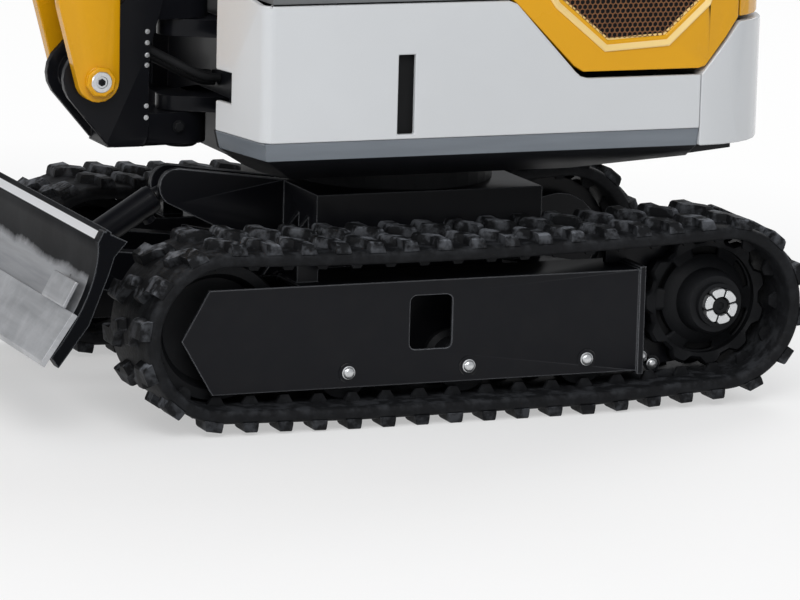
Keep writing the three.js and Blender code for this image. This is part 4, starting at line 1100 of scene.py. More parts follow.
# %% [markdown]
# ## Cylinders
# A hydraulic cylinder is a turned thing: an eye, a neck, a tube, and a gland nut that the chrome rod
# slides through. The frame tells where its pins are and how thick it is. The lathe works along the line
# of its slide.

# %% Cylinders
def spread(node, origin, axis):
    """Coordinates of a node's points along an axis from an origin, and their distance across y."""
    co = coordinates(frame["nodes"][node].data)
    return (co - origin) @ axis, np.abs(co[:, Y] - origin[Y])


def eye_ring(shape, centre, radius, half):
    """A bored eye across the machine, with its outer corners cut."""
    profile = two_sided([(radius * 0.48, -half), (radius * 0.92, -half), (radius, -half + 0.003)])
    shape.grid(lathe(profile, centre, (0, 1, 0), 36), along=True)


def cylinder(name):
    axis = np.array(JOINTS[f"{name}_slide"]["axis"], float)
    base = pin_of(f"{name}_pivot")
    base[Y] = 0.0
    s, y = spread(f"{name}_barrel", base, axis)
    eye, end = -s.min(), s.max()
    half = y[s < eye * 0.5].max()
    r = y[s > end - 0.02].max()
    s, y = spread(f"{name}_rod", base, axis)
    rod_eye_half = y[s > s.max() - 0.01].max()
    rod_radius = y[s < s.min() + 0.005].max()
    rod_eye_at = s.max() - eye
    neck = eye + 0.014
    barrel, head = Shape(), Shape()
    body = [(0.0, eye * 0.6), (half * 0.8, eye * 0.6), (half * 0.85, neck), (r * 0.86, neck + 0.004),
            (r * 0.94, neck + 0.012), (r * 0.94, end - 0.052), (r * 0.985, end - 0.050), (r, end - 0.046),
            (r, end - 0.012), (r * 0.9, end - 0.001), (rod_radius + 0.003, end),
            (rod_radius + 0.0015, end - 0.004), (rod_radius + 0.0015, end - 0.03)]
    barrel.grid(lathe(body, base, axis, 36))
    eye_ring(barrel, base, eye, half)
    ports = np.cross(axis, (0, 1, 0)) * (1 if name == "boom_cylinder" else -1)
    for at in (neck + 0.035, end - 0.075):
        profile = [(0, 0), (0.013, 0), (0.013, 0.010), (0.009, 0.012), (0, 0.012)]
        barrel.grid(lathe(profile, base + axis * at + ports * r * 0.9, ports, 20))
    barrel.make(f"{name}_tube", f"{name}_barrel", BLACK, (f"{name}_barrel",), sharp=38)
    rod_end = rod_eye_at - eye * 0.9
    bar = [(0, s.min()), (rod_radius, s.min() + 0.001), (rod_radius, rod_end), (0, rod_end)]
    bar = lathe(bar, base, axis, 36)
    piece(f"{name}_chrome", f"{name}_rod", CHROME, bar, (f"{name}_rod",), sharp=38)
    centre = base + axis * rod_eye_at
    eye_ring(head, centre, eye, rod_eye_half)
    shank = [(0, -eye * 1.5), (rod_radius * 1.3, -eye * 1.5), (rod_radius * 1.35, -eye * 0.7),
             (0, -eye * 0.7)]
    head.grid(lathe(shank, centre, axis, 30))
    head.make(f"{name}_eye", f"{name}_rod", BLACK, sharp=38)
    print(name, "from", np.round(base, 3), "to", np.round(centre, 3))


for name in ("boom_cylinder", "arm_cylinder", "bucket_cylinder", "blade_cylinder"):
    cylinder(name)

# %% [markdown]
# ## Pins
# Every pin ends in a round head held by one bolt, inside a raised collar. The boom's foot has the
# largest.

# %% Pin heads
COLLAR = np.array([(1, -0.002), (1.42, -0.002), (1.42, 0.006), (1.3, 0.008), (1, 0.008)])
HEAD = np.array([(0, -0.001), (1, -0.001), (1, 0.007), (0.9, 0.009), (0.55, 0.009), (0.5, 0.007), (0, 0.007)])
BOLT = np.array([(0, 0.006), (0.36, 0.006), (0.34, 0.0105), (0.18, 0.0105), (0.17, 0.008), (0, 0.008)])


def pin_heads(name, joint, half, body, collar_finish, radius):
    """A collar, a zinc head and a dark socketed bolt at both ends of a pin, each a profile in radii."""
    x, _, z = pin_of(joint)

    def both(profile, *turn):
        """The profile turned at the left and at the right end of the pin."""
        return [lathe(profile * (radius, 1), (x, side * half, z), (0, side, 0), *turn) for side in (-1, 1)]

    looks = {"slot": "yellow_paint", "sharp": 30, "bevel": 0.0012}
    piece(f"{name}_collars", body, collar_finish, both(COLLAR, 8, 0.25), along=True, **looks)
    piece(f"{name}_heads", body, ZINC, both(HEAD, 32), sharp=35)
    piece(f"{name}_bolts", body, BLACK, both(BOLT, 6, 0.4), sharp=30)


boom_half = np.abs(edges("boom")[:, Y]).max() - 0.0005
pin_heads("boom_foot", "boom_lift", boom_half, "boom", YELLOW, 0.0215)
pin_heads("arm_root", "arm_reach", 0.0758, "boom", YELLOW, 0.021)
pin_heads("arm_tip", "bucket_tilt", 0.0718, "bucket", YELLOW, 0.019)
pin_heads("rocker_foot", "rocker_pivot", 0.0688, "rocker_link", BLACK, 0.015)
pin_heads("rocker_head", "push_link_pivot", 0.0688, "rocker_link", BLACK, 0.015)
pin_heads("boom_cylinder_foot", "boom_cylinder_pivot", 0.0602, "swing_post", BLACK, 0.015)
pin_heads("blade_foot", "blade_drop", 0.1728, "undercarriage", BLACK, 0.015)

# %% [markdown]
# ## The swing post
# The boom's foot stands between two thick plates that turn about an upright pin between the house's
# ears. Small bolts along the plates' rear edges hold the hose guards, and the pin has a round cap at
# each end.

# %% Post details
post_low, post_high = edges("swing_post")
for name, side in SIDES:
    heights = (0.714, 0.692, 0.668, 0.648, 0.568, 0.545)
    places = [ahead(0.5408, side * post_high[Y], z) for z in heights]
    bolt_row(f"post_bolts_{name}", "swing_post", places, (0, side, 0), 0.0040)
CAP = [(0, -0.002), (0.033, -0.002), (0.033, 0.006), (0.028, 0.009), (0.012, 0.009), (0.012, 0.007),
       (0, 0.007)]
king_x = pin_of("boom_swing")[X]
caps = [lathe(CAP, (king_x, 0, z), (0, 0, up), 32) for z, up in ((post_low[Z], -1), (0.790, 1))]
piece("king_pin_caps", "swing_post", CAST, caps, sharp=35)
for name, side in SIDES:
    places = [ahead(0.472, side * 0.0565, 0.525)]
    bolt_row(f"post_clamp_{name}", "swing_post", places, (0, side, 0), 0.010, CAST)

# %% [markdown]
# ## Hoses through the swing joint
# Four hoses leave the house between its ears and climb to a block inside the post. Rubber bends where
# steel turns. Each hose rides on no body, and the sleeves at their upper ends ride on the post.

# %% Swing hoses
def hose(name, points, radius, body, finish=HOSE):
    """A tube along a smooth curve. It comes with the rings of points of a pressed steel sleeve for each
    end, the first and the last."""
    path = curve_through(points, 10)
    pipe = piece(name, body, finish, tube(path, radius, 14, (0.1, 1, 0.05)), sharp=60)
    profile = [(0, -0.003), (radius * 1.05, -0.003), (radius * 1.3, 0.0), (radius * 1.3, radius * 2.2),
               (radius * 1.12, radius * 2.5), (0, radius * 2.5)]
    return pipe, [lathe(profile, way[0], way[1] - way[0], 18) for way in (path, path[::-1])]


SWING_LINE = [(0.384, 1.1, 0.606), (0.42, 1.2, 0.612), (0.49, 1, 0.646), (0.545, 1, 0.674), (0.572, 1, 0.690)]
post_ends = []
for k, y in enumerate((-0.037, -0.0125, 0.0125, 0.037)):
    drop = 0.010 * (k % 2)
    points = [ahead(x, y * wide, z + drop) for x, wide, z in SWING_LINE]
    pipe, ends = hose(f"swing_hose_{k + 1}", points, 0.0088, None)
    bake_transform(pipe)
    post_ends.append(ends[1])
piece("swing_hose_sleeves", "swing_post", ZINC, post_ends, sharp=35)
corners = np.array([(0.570, 0.668), (0.604, 0.690), (0.590, 0.722), (0.556, 0.700)]) + (SLEW_X, 0)
piece("hose_block", "swing_post", CAST, slab(corners, -0.0435, 0.0435), sharp=30, bevel=0.002)

# %% [markdown]
# ## Pipes along the boom and the arm
# Oil reaches the upper cylinders through steel pipes, clamped along the boom where nothing can tear them
# off. They follow its back up to the knee and then its upper side. The boom's own pins give the line.

# %% Boom pipes
FOOT, TIP = pin_of("boom_lift"), pin_of("arm_reach")
FOOT[Y] = TIP[Y] = 0.0
KNEE = FOOT + (0.042, 0, 0.876)
RUN = unit(TIP - KNEE)
ASIDE = np.array([-RUN[Z], 0, RUN[X]])
RISE = 0.011
CLAMP = np.array([(-1, -0.1), (1, -0.1), (1, 0.8), (0.7, 1), (-0.7, 1), (-1, 0.8)]) * (0.013, 0.0215)


def on_boom(s, out=RISE, y=0.0):
    """A point s metres past the knee, so far above the boom's upper side."""
    return KNEE + RUN * s + ASIDE * (0.080 - 0.0394 * s + out) + (0, y, 0)


for name, side in SIDES:
    y = side * 0.061
    back = [FOOT + (-0.040 - RISE, y, z) for z in (0.262, 0.45, 0.64, 0.80)]
    bend = [KNEE + (-0.084, y, 0.026), KNEE + (-0.055 - RISE * 0.8, y, 0.068)]
    points = [*back, *bend, *(on_boom(s, y=y) for s in (0.05, 0.25, 0.45, 0.66))]
    pipe, ends = hose(f"boom_pipe_{name}", points, 0.0078, "boom", BLACK)
    piece(f"boom_pipe_ends_{name}", "boom", ZINC, ends, sharp=35)
    clamps = []
    for place, out in ((FOOT + (-0.040, y, 0.36), (-1.0, 0, 0)), (FOOT + (-0.0415, y, 0.64), (-1.0, 0, 0)),
                       (on_boom(0.14, 0, y), ASIDE), (on_boom(0.56, 0, y), ASIDE)):
        ring = CLAMP @ np.stack([np.cross(out, (0, 1, 0)), out])
        clamps.append(np.stack([place + ring + (0, k * 0.0125, 0) for k in (-1, 1)]))
    piece(f"pipe_clamps_{name}", "boom", BLACK, clamps, sharp=30, bevel=0.001)

# %% [markdown]
# At the boom's tip each pipe ends in a hose that loops round the outside of the joint, long enough for
# the arm to swing in. It rides on no body, and its sleeve at the arm's end rides on the arm. Beyond it a pipe
# follows the arm's side.

# %% Tip hoses and arm pipes
ARM_LINE = unit((pin_of("bucket_tilt") - pin_of("arm_reach")) * (1, 0, 1))
ARM_FRONT = np.array([-ARM_LINE[Z], 0, ARM_LINE[X]])


def on_arm(s, t, y=0.0):
    """A point s metres down the arm from its root pin, and t in front of the line of its pins."""
    return TIP + ARM_LINE * s + ARM_FRONT * t + (0, y, 0)


for name, side in SIDES:
    wide = side * 0.098
    points = [on_boom(0.672, y=side * 0.061), on_boom(0.71, 0.014, side * 0.078), on_boom(0.80, 0.050, wide),
              TIP + (-0.01, wide, 0.125), TIP + (0.085, wide, 0.085), TIP + (0.115, wide, -0.02),
              on_arm(0.13, 0.052, side * 0.080), on_arm(0.205, 0.030, side * 0.0645)]
    pipe, ends = hose(f"tip_hose_{name}", points, 0.0085, None)
    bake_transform(pipe)
    piece(f"tip_hose_sleeve_{name}", "arm", ZINC, ends[1:], sharp=35)
    down = ((0.21, 0.029), (0.34, 0.012), (0.50, 0.004), (0.64, 0.002))
    down = [on_arm(s, t, side * 0.0635) for s, t in down]
    pipe, ends = hose(f"arm_pipe_{name}", down, 0.0066, "arm", BLACK)
    piece(f"arm_pipe_ends_{name}", "arm", ZINC, ends, sharp=35)

# %% [markdown]
# ## The blade's end bits
# The corners of a blade wear first. Short steel plates are welded over both ends, just above the cutting
# edge. The board leans, so a plate is drawn in the board's own line: s runs down its face and t out of it.

# %% End bits
BOARD_KNEE = ahead(0.804, 0, 0.300)
DOWN_BOARD = np.array([0.4774, 0, -0.8787])
OUT_BOARD = np.array([0.8787, 0, 0.4774])
BIT = [(-0.002, 0.008), (0.052, 0.008), (0.052, 0.0135), (0.049, 0.0155), (0.001, 0.0155), (-0.002, 0.0135)]
ring = BOARD_KNEE + np.array(BIT) @ np.stack([DOWN_BOARD, OUT_BOARD])
bits = [np.stack([ring + (0, y, 0) for y in ends]) for ends in ((-0.470, -0.340), (0.340, 0.470))]
piece("blade_end_bits", "blade", STEEL, bits, sharp=25, bevel=0.0015)

# %% [markdown]
# ## Work lamp
# A lamp on the boom's side lights the trench. Its shell is a turned cup on a bracket, with a clear lens
# over a bright reflector.

# %% Lamps
def glassy():
    finish = Finish("lamp_lens", coat_weight=0.6, coat_roughness=0.03)
    ribs = (finish.axes()[Y] * 900.0).sine()
    finish.set(base_color=finish.blend(ribs.above(-1.0, 2.0), (0.42, 0.45, 0.48), (0.78, 0.80, 0.82)))
    finish.set(roughness=0.12 + ribs.size() * 0.1)
    return finish.bump(ribs, 0.0006, 0.5)


LENS = glassy()
LAMP_CUP = [(0, -0.046), (0.018, -0.046), (0.030, -0.038), (0.044, -0.012), (0.047, 0.0), (0.047, 0.006),
            (0.042, 0.008), (0.041, 0.002), (0, 0.002)]
LAMP_GLASS = [(0.0405, 0.001), (0.040, 0.004), (0.030, 0.007), (0.015, 0.0085), (0, 0.009)]


def work_lamp(name, body, place, aim):
    """A cup with a rim, and a lens set into it."""
    piece(name + "_shell", body, PLASTIC, lathe(LAMP_CUP, place, aim, 36), sharp=40)
    piece(name + "_lens", body, LENS, lathe(LAMP_GLASS, place, aim, 36), sharp=60)


boom_lamp = KNEE + RUN * 0.10 + (0, 0, -0.02)
work_lamp("boom_lamp", "boom", boom_lamp + (0.066, 0.112, -0.02), (0.85, 0, -0.5))
arm_of_lamp = [boom_lamp + place for place in ((0.0, 0.070, 0), (0.02, 0.098, -0.004), (0.05, 0.112, -0.012))]
piece("boom_lamp_bracket", "boom", BLACK, tube(curve_through(arm_of_lamp, 6), 0.008, 12), sharp=50)

# %% [markdown]
# ## The seat
# A work seat is two foam pads in vinyl, with thicker bolsters at the sides. Foam under a tight skin
# bulges between its seams. The way to get that bulge is to let a cloth simulation blow up a plain pad
# that starts a little too small, and to stop it after a few millimetres.

# %% Pads
VOXEL = 0.006
AIR_STEPS = 20
MOST_SWELL = 0.014


def plain_pad(size, plan=0.42, section=0.62, rings=24, sides=64):
    """A superellipsoid: x = a C(v, section) C(u, plan), y = b C(v, section) S(u, plan),
    z = c S(v, section), where C(t, e) = sign(cos t) |cos t|^e and S is the same with the sine."""
    v = np.linspace(-np.pi / 2, np.pi / 2, rings)[:, None]
    u = circle(sides)[None, :]

    def power(wave, e):
        return np.sign(wave) * np.abs(wave) ** e
    flat = np.maximum(power(np.cos(v), section), 0.004)
    x, y = flat * power(np.cos(u), plan), flat * power(np.sin(u), plan)
    return xyz(x, y, power(np.sin(v), section)) * (np.asarray(size) / 2)


def blown_up(piece, most):
    """The piece after an even remesh and a cloth simulation under pressure, with no point moved
    further than most."""
    scene = bpy.context.scene
    remesh = piece.modifiers.new("even", "REMESH")
    remesh.mode = "VOXEL"
    remesh.voxel_size = VOXEL
    piece.data = bpy.data.meshes.new_from_object(piece.evaluated_get(bpy.context.evaluated_depsgraph_get()))
    piece.modifiers.clear()
    start = coordinates(piece.data)
    cloth = piece.modifiers.new("air", "CLOTH")
    cloth.settings.use_pressure = True
    cloth.settings.uniform_pressure_force = 4
    cloth.settings.effector_weights.gravity = 0
    for step in range(1, AIR_STEPS + 1):
        scene.frame_set(step)
    held = piece.evaluated_get(bpy.context.evaluated_depsgraph_get())
    move = coordinates(held.data) - start
    piece.modifiers.clear()
    scene.frame_set(1)
    length = np.linalg.norm(move, axis=1, keepdims=True)
    move *= np.minimum(1, most / np.maximum(length, 1e-9))
    piece.data.vertices.foreach_set("co", (start + move).ravel())
    piece.data.update()
    return float(length.max())


# %% [markdown]
# The seams come after the simulation, because a remesh would wipe them out. A seam is a narrow valley:
# each point sinks by depth * exp(-(distance / width)^2). Piping, a thin welt, is sewn round the widest
# line of the pad, found by asking in each direction which point lies furthest out.

# %% Sewn cushions
SEAM_WIDTH = 0.0075
SEAM_END = 0.004


def sewn_cushion(name, node, axes, size, seams):
    """A blown-up pad in the place of a node. axes are the pad's own directions, one in each row, and a
    seam is (direction, offset, low, high, depth): a valley where that coordinate equals the offset."""
    centre = middle(node)
    mesh = bpy.data.meshes.new(name)
    shape = Shape().grid(plain_pad(size))
    mesh.from_pydata(np.concatenate(shape.points).tolist(), [], shape.faces)
    foam = bpy.data.objects.new(name, mesh)
    bpy.context.scene.collection.objects.link(foam)
    moved = blown_up(foam, MOST_SWELL)
    fine = foam.modifiers.new("fine", "SUBSURF")
    fine.levels = fine.render_levels = 1
    smooth = bpy.data.meshes.new_from_object(foam.evaluated_get(bpy.context.evaluated_depsgraph_get()))
    bpy.data.objects.remove(foam)
    co = coordinates(smooth)
    sink = np.zeros(len(co))
    for k, offset, low, high, depth in seams:
        other = co[:, 1 - k]
        within = 1 / (1 + np.exp(-(other - low) / SEAM_END)) / (1 + np.exp((other - high) / SEAM_END))
        sink = np.maximum(sink, depth * np.exp(-(((co[:, k] - offset) / SEAM_WIDTH) ** 2)) * within)
    co[:, Z] -= sink * (co[:, Z] > 0)
    turns = circle(120)
    flat = co[np.abs(co[:, Z]) < 0.012][:, :2]
    angle = np.arctan2(flat[:, 1] / size[1], flat[:, 0] / size[0])
    gap = np.abs((angle[None] - turns[:, None] + np.pi) % (2 * np.pi) - np.pi)
    reach = np.where(gap < 0.06, np.linalg.norm(flat / np.asarray(size)[:2], axis=1)[None], 0).max(1)
    edge = np.stack([reach * np.cos(turns) * size[0], reach * np.sin(turns) * size[1], turns * 0], -1)
    smooth.vertices.foreach_set("co", (co @ axes + centre).ravel())
    pad = settle(name, smooth, "house", VINYL, (node,), sharp=80, outward=False)
    ring = np.vstack([edge, edge[:1]]) @ axes + centre
    piece(name + "_piping", "house", VINYL, tube(ring, 0.0042, 8, axes[2])[:-1], along=True, sharp=80)
    print(name, len(smooth.vertices), "points, moved up to", round(moved * 1000, 1), "mm")


def seams(across, low, high, depth, cuts):
    """Two seams along the bolsters at plus and minus across, and between them the cuts (offset, depth)."""
    return [(1, side * across, low, high, depth) for side in (1, -1)] + [
        (0, offset, -across, across, cut_depth) for offset, cut_depth in cuts]


span = np.ptp(edges("seat_cushion"), axis=0) * (0.96, 0.965, 0.84)
cuts = seams(0.135, -0.18, 0.13, 0.011, [(0.13, 0.011), (0.03, 0.007), (-0.07, 0.007)])
sewn_cushion("cushion", "seat_cushion", np.eye(3), span, cuts)
lean = math.atan2(0.060, 0.389)
leaning = np.array([(-np.sin(lean), 0, np.cos(lean)), (0, -1.0, 0), (np.cos(lean), 0, np.sin(lean))])
cuts = seams(0.125, -0.17, 0.15, 0.010, [(0.15, 0.010), (0.05, 0.007), (-0.05, 0.007)])
sewn_cushion("backrest", "seat_back", leaning, np.array([0.462, 0.434, 0.076]), cuts)

# %% [markdown]
# ## Controls
# Each side has a moulded console with an armrest and a joystick. A rubber gaiter, a bellows whose radius
# ripples as it narrows, keeps dust out of the linkage. Two tall levers in front drive the tracks.

# %% Levers
def gaiter(base, axis, wide, narrow, height, folds=4):
    """A bellows: the radius falls from wide to narrow and ripples once for each fold."""
    t = np.linspace(0, 1, folds * 8 + 1)
    radius = wide + (narrow - wide) * t**0.8 + 0.0028 * np.cos(2 * np.pi * folds * t) * (1 - t * 0.5)
    profile = np.vstack([[(0, 0)], np.stack([radius, t * height], -1), [(0, height)]])
    return lathe(profile, base, axis, 32)


def grip(base, axis, length, radius):
    """A handle that swells at its middle and its top, like a closed hand."""
    t = np.linspace(0, 1, 18)
    swell = radius * (0.72 + 0.22 * np.sin(np.pi * t) + 0.16 * np.exp(-(((t - 0.84) / 0.14) ** 2)))
    swell[-3:] *= (0.93, 0.72, 0.35)
    profile = np.vstack([[(0, 0)], np.stack([swell, t * length], -1), [(0, length)]])
    return lathe(profile, base, axis, 28)


CONSOLE = [(0.010, 0.8273), (0.150, 0.8273), (0.170, 1.090), (0.250, 1.170), (0.250, 1.213), (-0.040, 1.193),
           (-0.020, 1.090)]
ARMREST = [(-0.038, 1.194), (0.098, 1.203), (0.100, 1.226), (-0.036, 1.217)]
BUTTON = [(0, 0), (0.0052, 0), (0.0052, 0.004), (0.003, 0.0052), (0, 0.0052)]
for name, side in SIDES:
    near, far = sorted(edges(f"console_{name}")[:, Y], key=abs)
    shell = slab(np.array(CONSOLE) + (SLEW_X, 0), near, far)
    looks = {"sharp": 25, "bevel": 0.008, "segments": 3}
    piece(f"console_{name}_shell", "house", PLASTIC, shell, (f"console_{name}",), **looks)
    rest = slab(np.array(ARMREST) + (SLEW_X, 0), near + side * 0.006, far - side * 0.006)
    piece(f"armrest_{name}", "house", VINYL, rest, sharp=30, bevel=0.007, segments=3)
    foot, neck = ahead(0.218, (near + far) / 2, 1.207), ahead(0.234, (near + far) / 2, 1.312)
    axis = unit(neck - foot)
    boot = [gaiter(foot, axis, 0.030, 0.012, 0.062)]
    stick = [tube([foot, neck, neck + axis * 0.02], 0.0065, 14, (0, 1, 0))]
    handle = [grip(neck - axis * 0.006, axis, 0.090, 0.0205)]
    trim = [lathe(BUTTON, neck + axis * 0.058 + (0.0175, y, 0), (1, 0, 0.1), 16) for y in (-0.007, 0.007)]
    if side < 0:
        base, top = ahead(0.120, -0.310, 1.199), ahead(0.135, -0.310, 1.262)
        tilt = unit(top - base)
        boot.append(gaiter(base, tilt, 0.017, 0.008, 0.034, 3))
        stick.append(tube([base, top, top + tilt * 0.01], 0.005, 12, (0, 1, 0)))
        handle.append(grip(top, tilt, 0.036, 0.0145))
    piece(f"gaiter_{name}", "house", HOSE, boot, sharp=70)
    piece(f"joystick_{name}", "house", ZINC, stick, slot="rod_chrome", sharp=50)
    piece(f"joystick_grip_{name}", "house", PLASTIC, handle, sharp=60)
    piece(f"joystick_buttons_{name}", "house", CAST, trim, slot="worn_steel", sharp=40)

# %% [markdown]
# The two travel levers stand on a plate before the seat, with a pedal beside each. Five low bars across
# a pedal keep a muddy boot from slipping.

# %% Travel levers and pedals
PEDAL = [(0.300, 0.842), (0.346, 0.842), (0.346, 0.852), (0.300, 0.861)]
BAR = np.array([(0, 0), (0.004, 0), (0.003, 0.004), (0.001, 0.004)])
floor_z = edges("travel_levers")[LOW, Z]
plate = brick(SLEW_X + 0.292, SLEW_X + 0.352, -0.15, 0.15, floor_z, floor_z + 0.012)
piece("lever_plate", "house", BLACK, plate, ("travel_levers",), sharp=30, bevel=0.002)
boots, sticks, handles, pedals = [], [], [], []
for side in (-1, 1):
    foot, neck = ahead(0.320, side * 0.060, 0.838), ahead(0.300, side * 0.060, 1.150)
    axis = unit(neck - foot)
    boots.append(gaiter(foot, axis, 0.034, 0.012, 0.075, 5))
    sticks.append(tube([foot, (foot + neck) / 2, neck, neck + axis * 0.03], 0.0085, 14, (0, 1, 0)))
    handles.append(grip(neck, axis, 0.088, 0.0185))
    pedals.append(slab(np.array(PEDAL) + (SLEW_X, 0), side * 0.140 - 0.038, side * 0.140 + 0.038))
    for x in np.linspace(0.306, 0.340, 5):
        bar = BAR + (SLEW_X + x, 0.8595 - (x - 0.3) * 0.19)
        pedals.append(slab(bar, side * 0.140 - 0.034, side * 0.140 + 0.034))
piece("lever_gaiters", "house", HOSE, boots, sharp=70)
piece("lever_sticks", "house", ZINC, sticks, slot="rod_chrome", sharp=50)
piece("lever_grips", "house", PLASTIC, handles, sharp=60)
piece("foot_pedals", "house", CAST, pedals, sharp=30, bevel=0.001)

# %% [markdown]
# ## Canopy
# The roof is one moulded panel. Low ribs stiffen it and lead the rain away. Grab rails on the front posts
# help the driver up, and bolts tie each post down.

# %% Roof ribs, rails and post feet
POST_Y = 0.428
RAIL = [(0.22, 0.018, 1.16), (0.22, 0.060, 1.175), (0.24, 0.072, 1.21), (0.40, 0.072, 1.42),
        (0.54, 0.072, 1.60), (0.56, 0.060, 1.635), (0.56, 0.018, 1.65)]
roof_low, roof_high = edges("canopy_roof")
section = np.array([(-0.040, -0.001), (0.040, -0.001), (0.028, 0.008), (-0.028, 0.008)]) + (0, roof_high[Z])
span = roof_low[X] + 0.07, roof_high[X] - 0.07
ribs = [slab(section + (y, 0), *span, axis=X) for y in (-0.27, -0.09, 0.09, 0.27)]
piece("roof_ribs", "house", ROOF, ribs, sharp=25, bevel=0.003)
floor_top = edges("canopy_frame")[LOW, Z] + 0.012
lid_top = edges("engine_top_cover")[HIGH, Z]
feet, rails = [], []
for side in (-1, 1):
    line = [ahead(0.405 - t * 0.0605 + out, side * POST_Y, z) for t, out, z in RAIL]
    rails.append(tube(curve_through(line, 8), 0.0105, 16, (0, 1, 0)))
    feet += [ahead(0.371, side * POST_Y + y, floor_top) for y in (-0.020, 0.018)]
    feet += [ahead(-0.464, side * POST_Y + y, lid_top + 0.0125) for y in (-0.022, 0.022)]
piece("grab_rails", "house", BLACK, rails, sharp=60)
bolt_row("post_foot_bolts", "house", feet, (0, 0, 1), 0.0075)
work_lamp("roof_lamp", "house", ahead(-0.535, 0.20, 2.235), (-1, 0, -0.35))

# %% [markdown]
# ## The rear
# The hood is pressed steel with hooded louvres that let the engine's heat out. A louvre is a short
# wedge: its lower edge stands away from the hood, and rain runs off. The counterweight carries two red
# reflectors, and a black cap closes the fuel tank.

# %% Hood, cap and reflectors
WEDGE = np.array([(0.0005, 0.012), (-0.0065, -0.004), (-0.0055, -0.006), (0.0005, -0.004)])
hood_x = edges("rear_hood")[LOW, X]
louvres, louvre_shades = [], []
for z in np.linspace(0.835, 0.955, 5):
    for y in (-0.13, 0.13):
        louvres.append(slab(WEDGE + (hood_x, z), y - 0.095, y + 0.095))
        # A near-black brick in the gap under each louvre: painted shade.
        louvre_shades.append(brick(hood_x + 0.001, hood_x - 0.0004, y - 0.092, y + 0.092, z - 0.0035, z - 0.009))
piece("hood_louvres", "rear_hood", YELLOW, louvres, sharp=25, bevel=0.0008)
piece("hood_louvre_shade", "rear_hood", PAINTED_SHADE, louvre_shades, sharp=30)
boss = [(0, -0.001), (0.021, -0.001), (0.021, 0.004), (0.018, 0.006), (0, 0.006)]
latch = [lathe(boss, (hood_x, 0.0, 0.80), (-1, 0, 0), 32)]
latch.append(brick(hood_x - 0.004, hood_x - 0.013, -0.017, 0.017, 0.7965, 0.8035))
piece("hood_latch", "rear_hood", PLASTIC, latch, sharp=30, bevel=0.001)
knob = [(0, -0.001), (0.040, -0.001), (0.040, 0.004), (0.034, 0.005), (0.034, 0.020), (0.030, 0.024),
        (0, 0.024)]
place = ahead(-0.36, 0.355, lid_top)
cap = lathe(knob, place, (0, 0, 1), 72)
knurl = 1 + 0.03 * np.sign(np.sin(18 * circle(72)))
cap[3:6, :, :2] = (cap[3:6, :, :2] - place[:2]) * knurl[:, None] + place[:2]
piece("fuel_cap", "house", PLASTIC, cap, sharp=40)


def reflector():
    finish = Finish("red_reflector", coat_weight=0.7, coat_roughness=0.05)
    _, y, z = finish.axes()
    cells = ((y * 1400.0).sine() * (z * 1400.0).sine()).size()
    finish.set(base_color=finish.blend(cells, (0.35, 0.008, 0.006), (0.62, 0.02, 0.012)))
    finish.set(roughness=0.18 + cells * 0.15)
    return finish.bump(cells, 0.0004, 0.5)


weight_x = edges("counterweight")[LOW, X]
plates, trims = [], []
for y in (-0.22, 0.22):
    plates.append(brick(weight_x + 0.002, weight_x - 0.0035, y - 0.045, y + 0.045, 0.600, 0.640))
    trims.append(brick(weight_x + 0.002, weight_x - 0.0012, y - 0.050, y + 0.050, 0.595, 0.645))
piece("reflectors", "house", reflector(), plates, sharp=30, bevel=0.0012)
piece("reflector_rims", "house", PLASTIC, trims, sharp=30, bevel=0.0008)

# %% [markdown]
# ## Under the hood
# With the hood open, the radiator faces the visitor: a core of thin fins between two tanks, in a shroud,
# beside the air filter. The engine's own block stands in front of it.

# %% Radiator and filter
FILTER = [(0, 0), (0.040, 0), (0.044, 0.004), (0.044, 0.150), (0.048, 0.152), (0.048, 0.162), (0.044, 0.164),
          (0.040, 0.185), (0.018, 0.190), (0, 0.190)]
core = np.array([edges("engine_block")[LOW, X] - 0.0485, 0, 0])
fins = [brick(core[X] + 0.010, core[X] + 0.034, -0.150, 0.110, z, z + 0.0016)
        for z in 0.600 + np.arange(46) * 0.0062]
piece("radiator_fins", "house", CAST, fins, sharp=30)
tanks = [brick(core[X] + 0.004, core[X] + 0.040, -0.165, 0.125, z0, z1)
         for z0, z1 in ((0.570, 0.602), (0.884, 0.918))]
tanks += [brick(core[X] + 0.006, core[X] + 0.038, y, y + 0.012, 0.600, 0.886) for y in (-0.163, 0.111)]
piece("radiator_tanks", "house", BLACK, tanks, sharp=30, bevel=0.004)
can = lathe(FILTER, core + (0.050, 0.170, 0.640), (0, 0, 1), 36)
piece("air_filter", "house", PLASTIC, can, sharp=35)
elbow = [core + place for place in ((0.05, 0.170, 0.825), (0.05, 0.168, 0.870), (0.052, 0.14, 0.900),
                                    (0.07, 0.09, 0.935), (0.12, 0.06, 0.945), (0.15, 0.05, 0.925))]
hose("intake_hose", elbow, 0.017, "house")

# %% [markdown]
# ## Floor and light
# The floor is pale and runs far past the view. Seen straight, it adds a little light of its own, so that
# it reads as white paper and still keeps the machine's shadow. Three large soft lamps and an even sky
# give long highlights on the panels without burning them out.

# %% Stage
FLOOR_REACH = 60.0


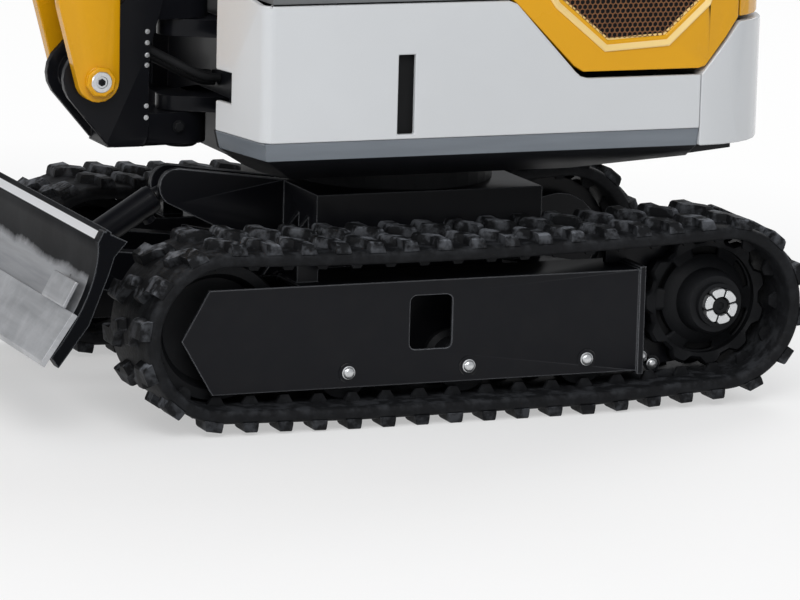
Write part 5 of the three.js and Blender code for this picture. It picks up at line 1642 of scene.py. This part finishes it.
def stage():
    paper = Finish("pale_floor", specular_ior_level=0.1)
    paper.set(base_color=paper.blend(paper.noise(2.0), (0.80, 0.80, 0.80), (0.84, 0.84, 0.84)), roughness=0.9)
    ways = [paper.add("LightPath", out=f"Is {way} Ray") for way in ("Camera", "Glossy", "Transmission")]
    x, y, _ = paper.axes()
    away = ((x * x + y * y) ** 0.5).above(0.9, 2.2)
    glow = paper.add("Emission", Color=(1, 1, 1, 1), Strength=1.0)
    share = ways[0].most(ways[1]).most(ways[2]) * (0.45 + away * 0.5)
    mixed = paper.add("MixShader", _0=share, _1=Value(paper.shader.outputs[0]), _2=glow)
    feed(paper.tree.nodes["Material Output"].inputs[0], mixed)
    mesh = bpy.data.meshes.new("floor")
    low = float(CAD_BOX[0][2]) - 0.0004
    corners = [(x * FLOOR_REACH, y * FLOOR_REACH, low) for x, y in ((-1, -1), (1, -1), (1, 1), (-1, 1))]
    mesh.from_pydata(corners, [], [(0, 1, 2, 3)])
    mesh.materials.append(paper.material)
    floor = bpy.data.objects.new("floor", mesh)
    bpy.context.scene.collection.objects.link(floor)


def lamp(name, place, aim, size, watts):
    """A square soft lamp that faces a point."""
    data = bpy.data.lights.new(name, "AREA")
    data.size = size
    data.energy = watts
    light = bpy.data.objects.new(name, data)
    light.location = place
    light.rotation_euler = (Vector(aim) - Vector(place)).to_track_quat("-Z", "Y").to_euler()
    bpy.context.scene.collection.objects.link(light)


def sky(strength):
    world = bpy.data.worlds.new("studio")
    world.use_nodes = True
    background = world.node_tree.nodes["Background"]
    background.inputs["Color"].default_value = (0.95, 0.97, 1.0, 1)
    rays = world.node_tree.nodes.new("ShaderNodeLightPath")
    seen = Value(rays.outputs["Is Camera Ray"]).most(Value(rays.outputs["Is Transmission Ray"]))
    feed(background.inputs["Strength"], seen * (1 - strength) + strength)
    bpy.context.scene.world = world


stage()
sky(0.5)
lamp("key", (1.5, 5.5, 5.0), (SLEW_X, 0, 0.7), 3.5, 230)
lamp("front", (6.0, 2.0, 3.2), (SLEW_X, 0, 0.6), 3.0, 120)
lamp("back", (-4.5, -3.5, 4.5), (SLEW_X, 0, 0.8), 3.0, 150)

# %% [markdown]
# ## The frame's box
# The box of the frame alone, taken before any piece was added, is printed.

# %% Finish
print("cad box", [tuple(round(v, 4) for v in c) for c in CAD_BOX])
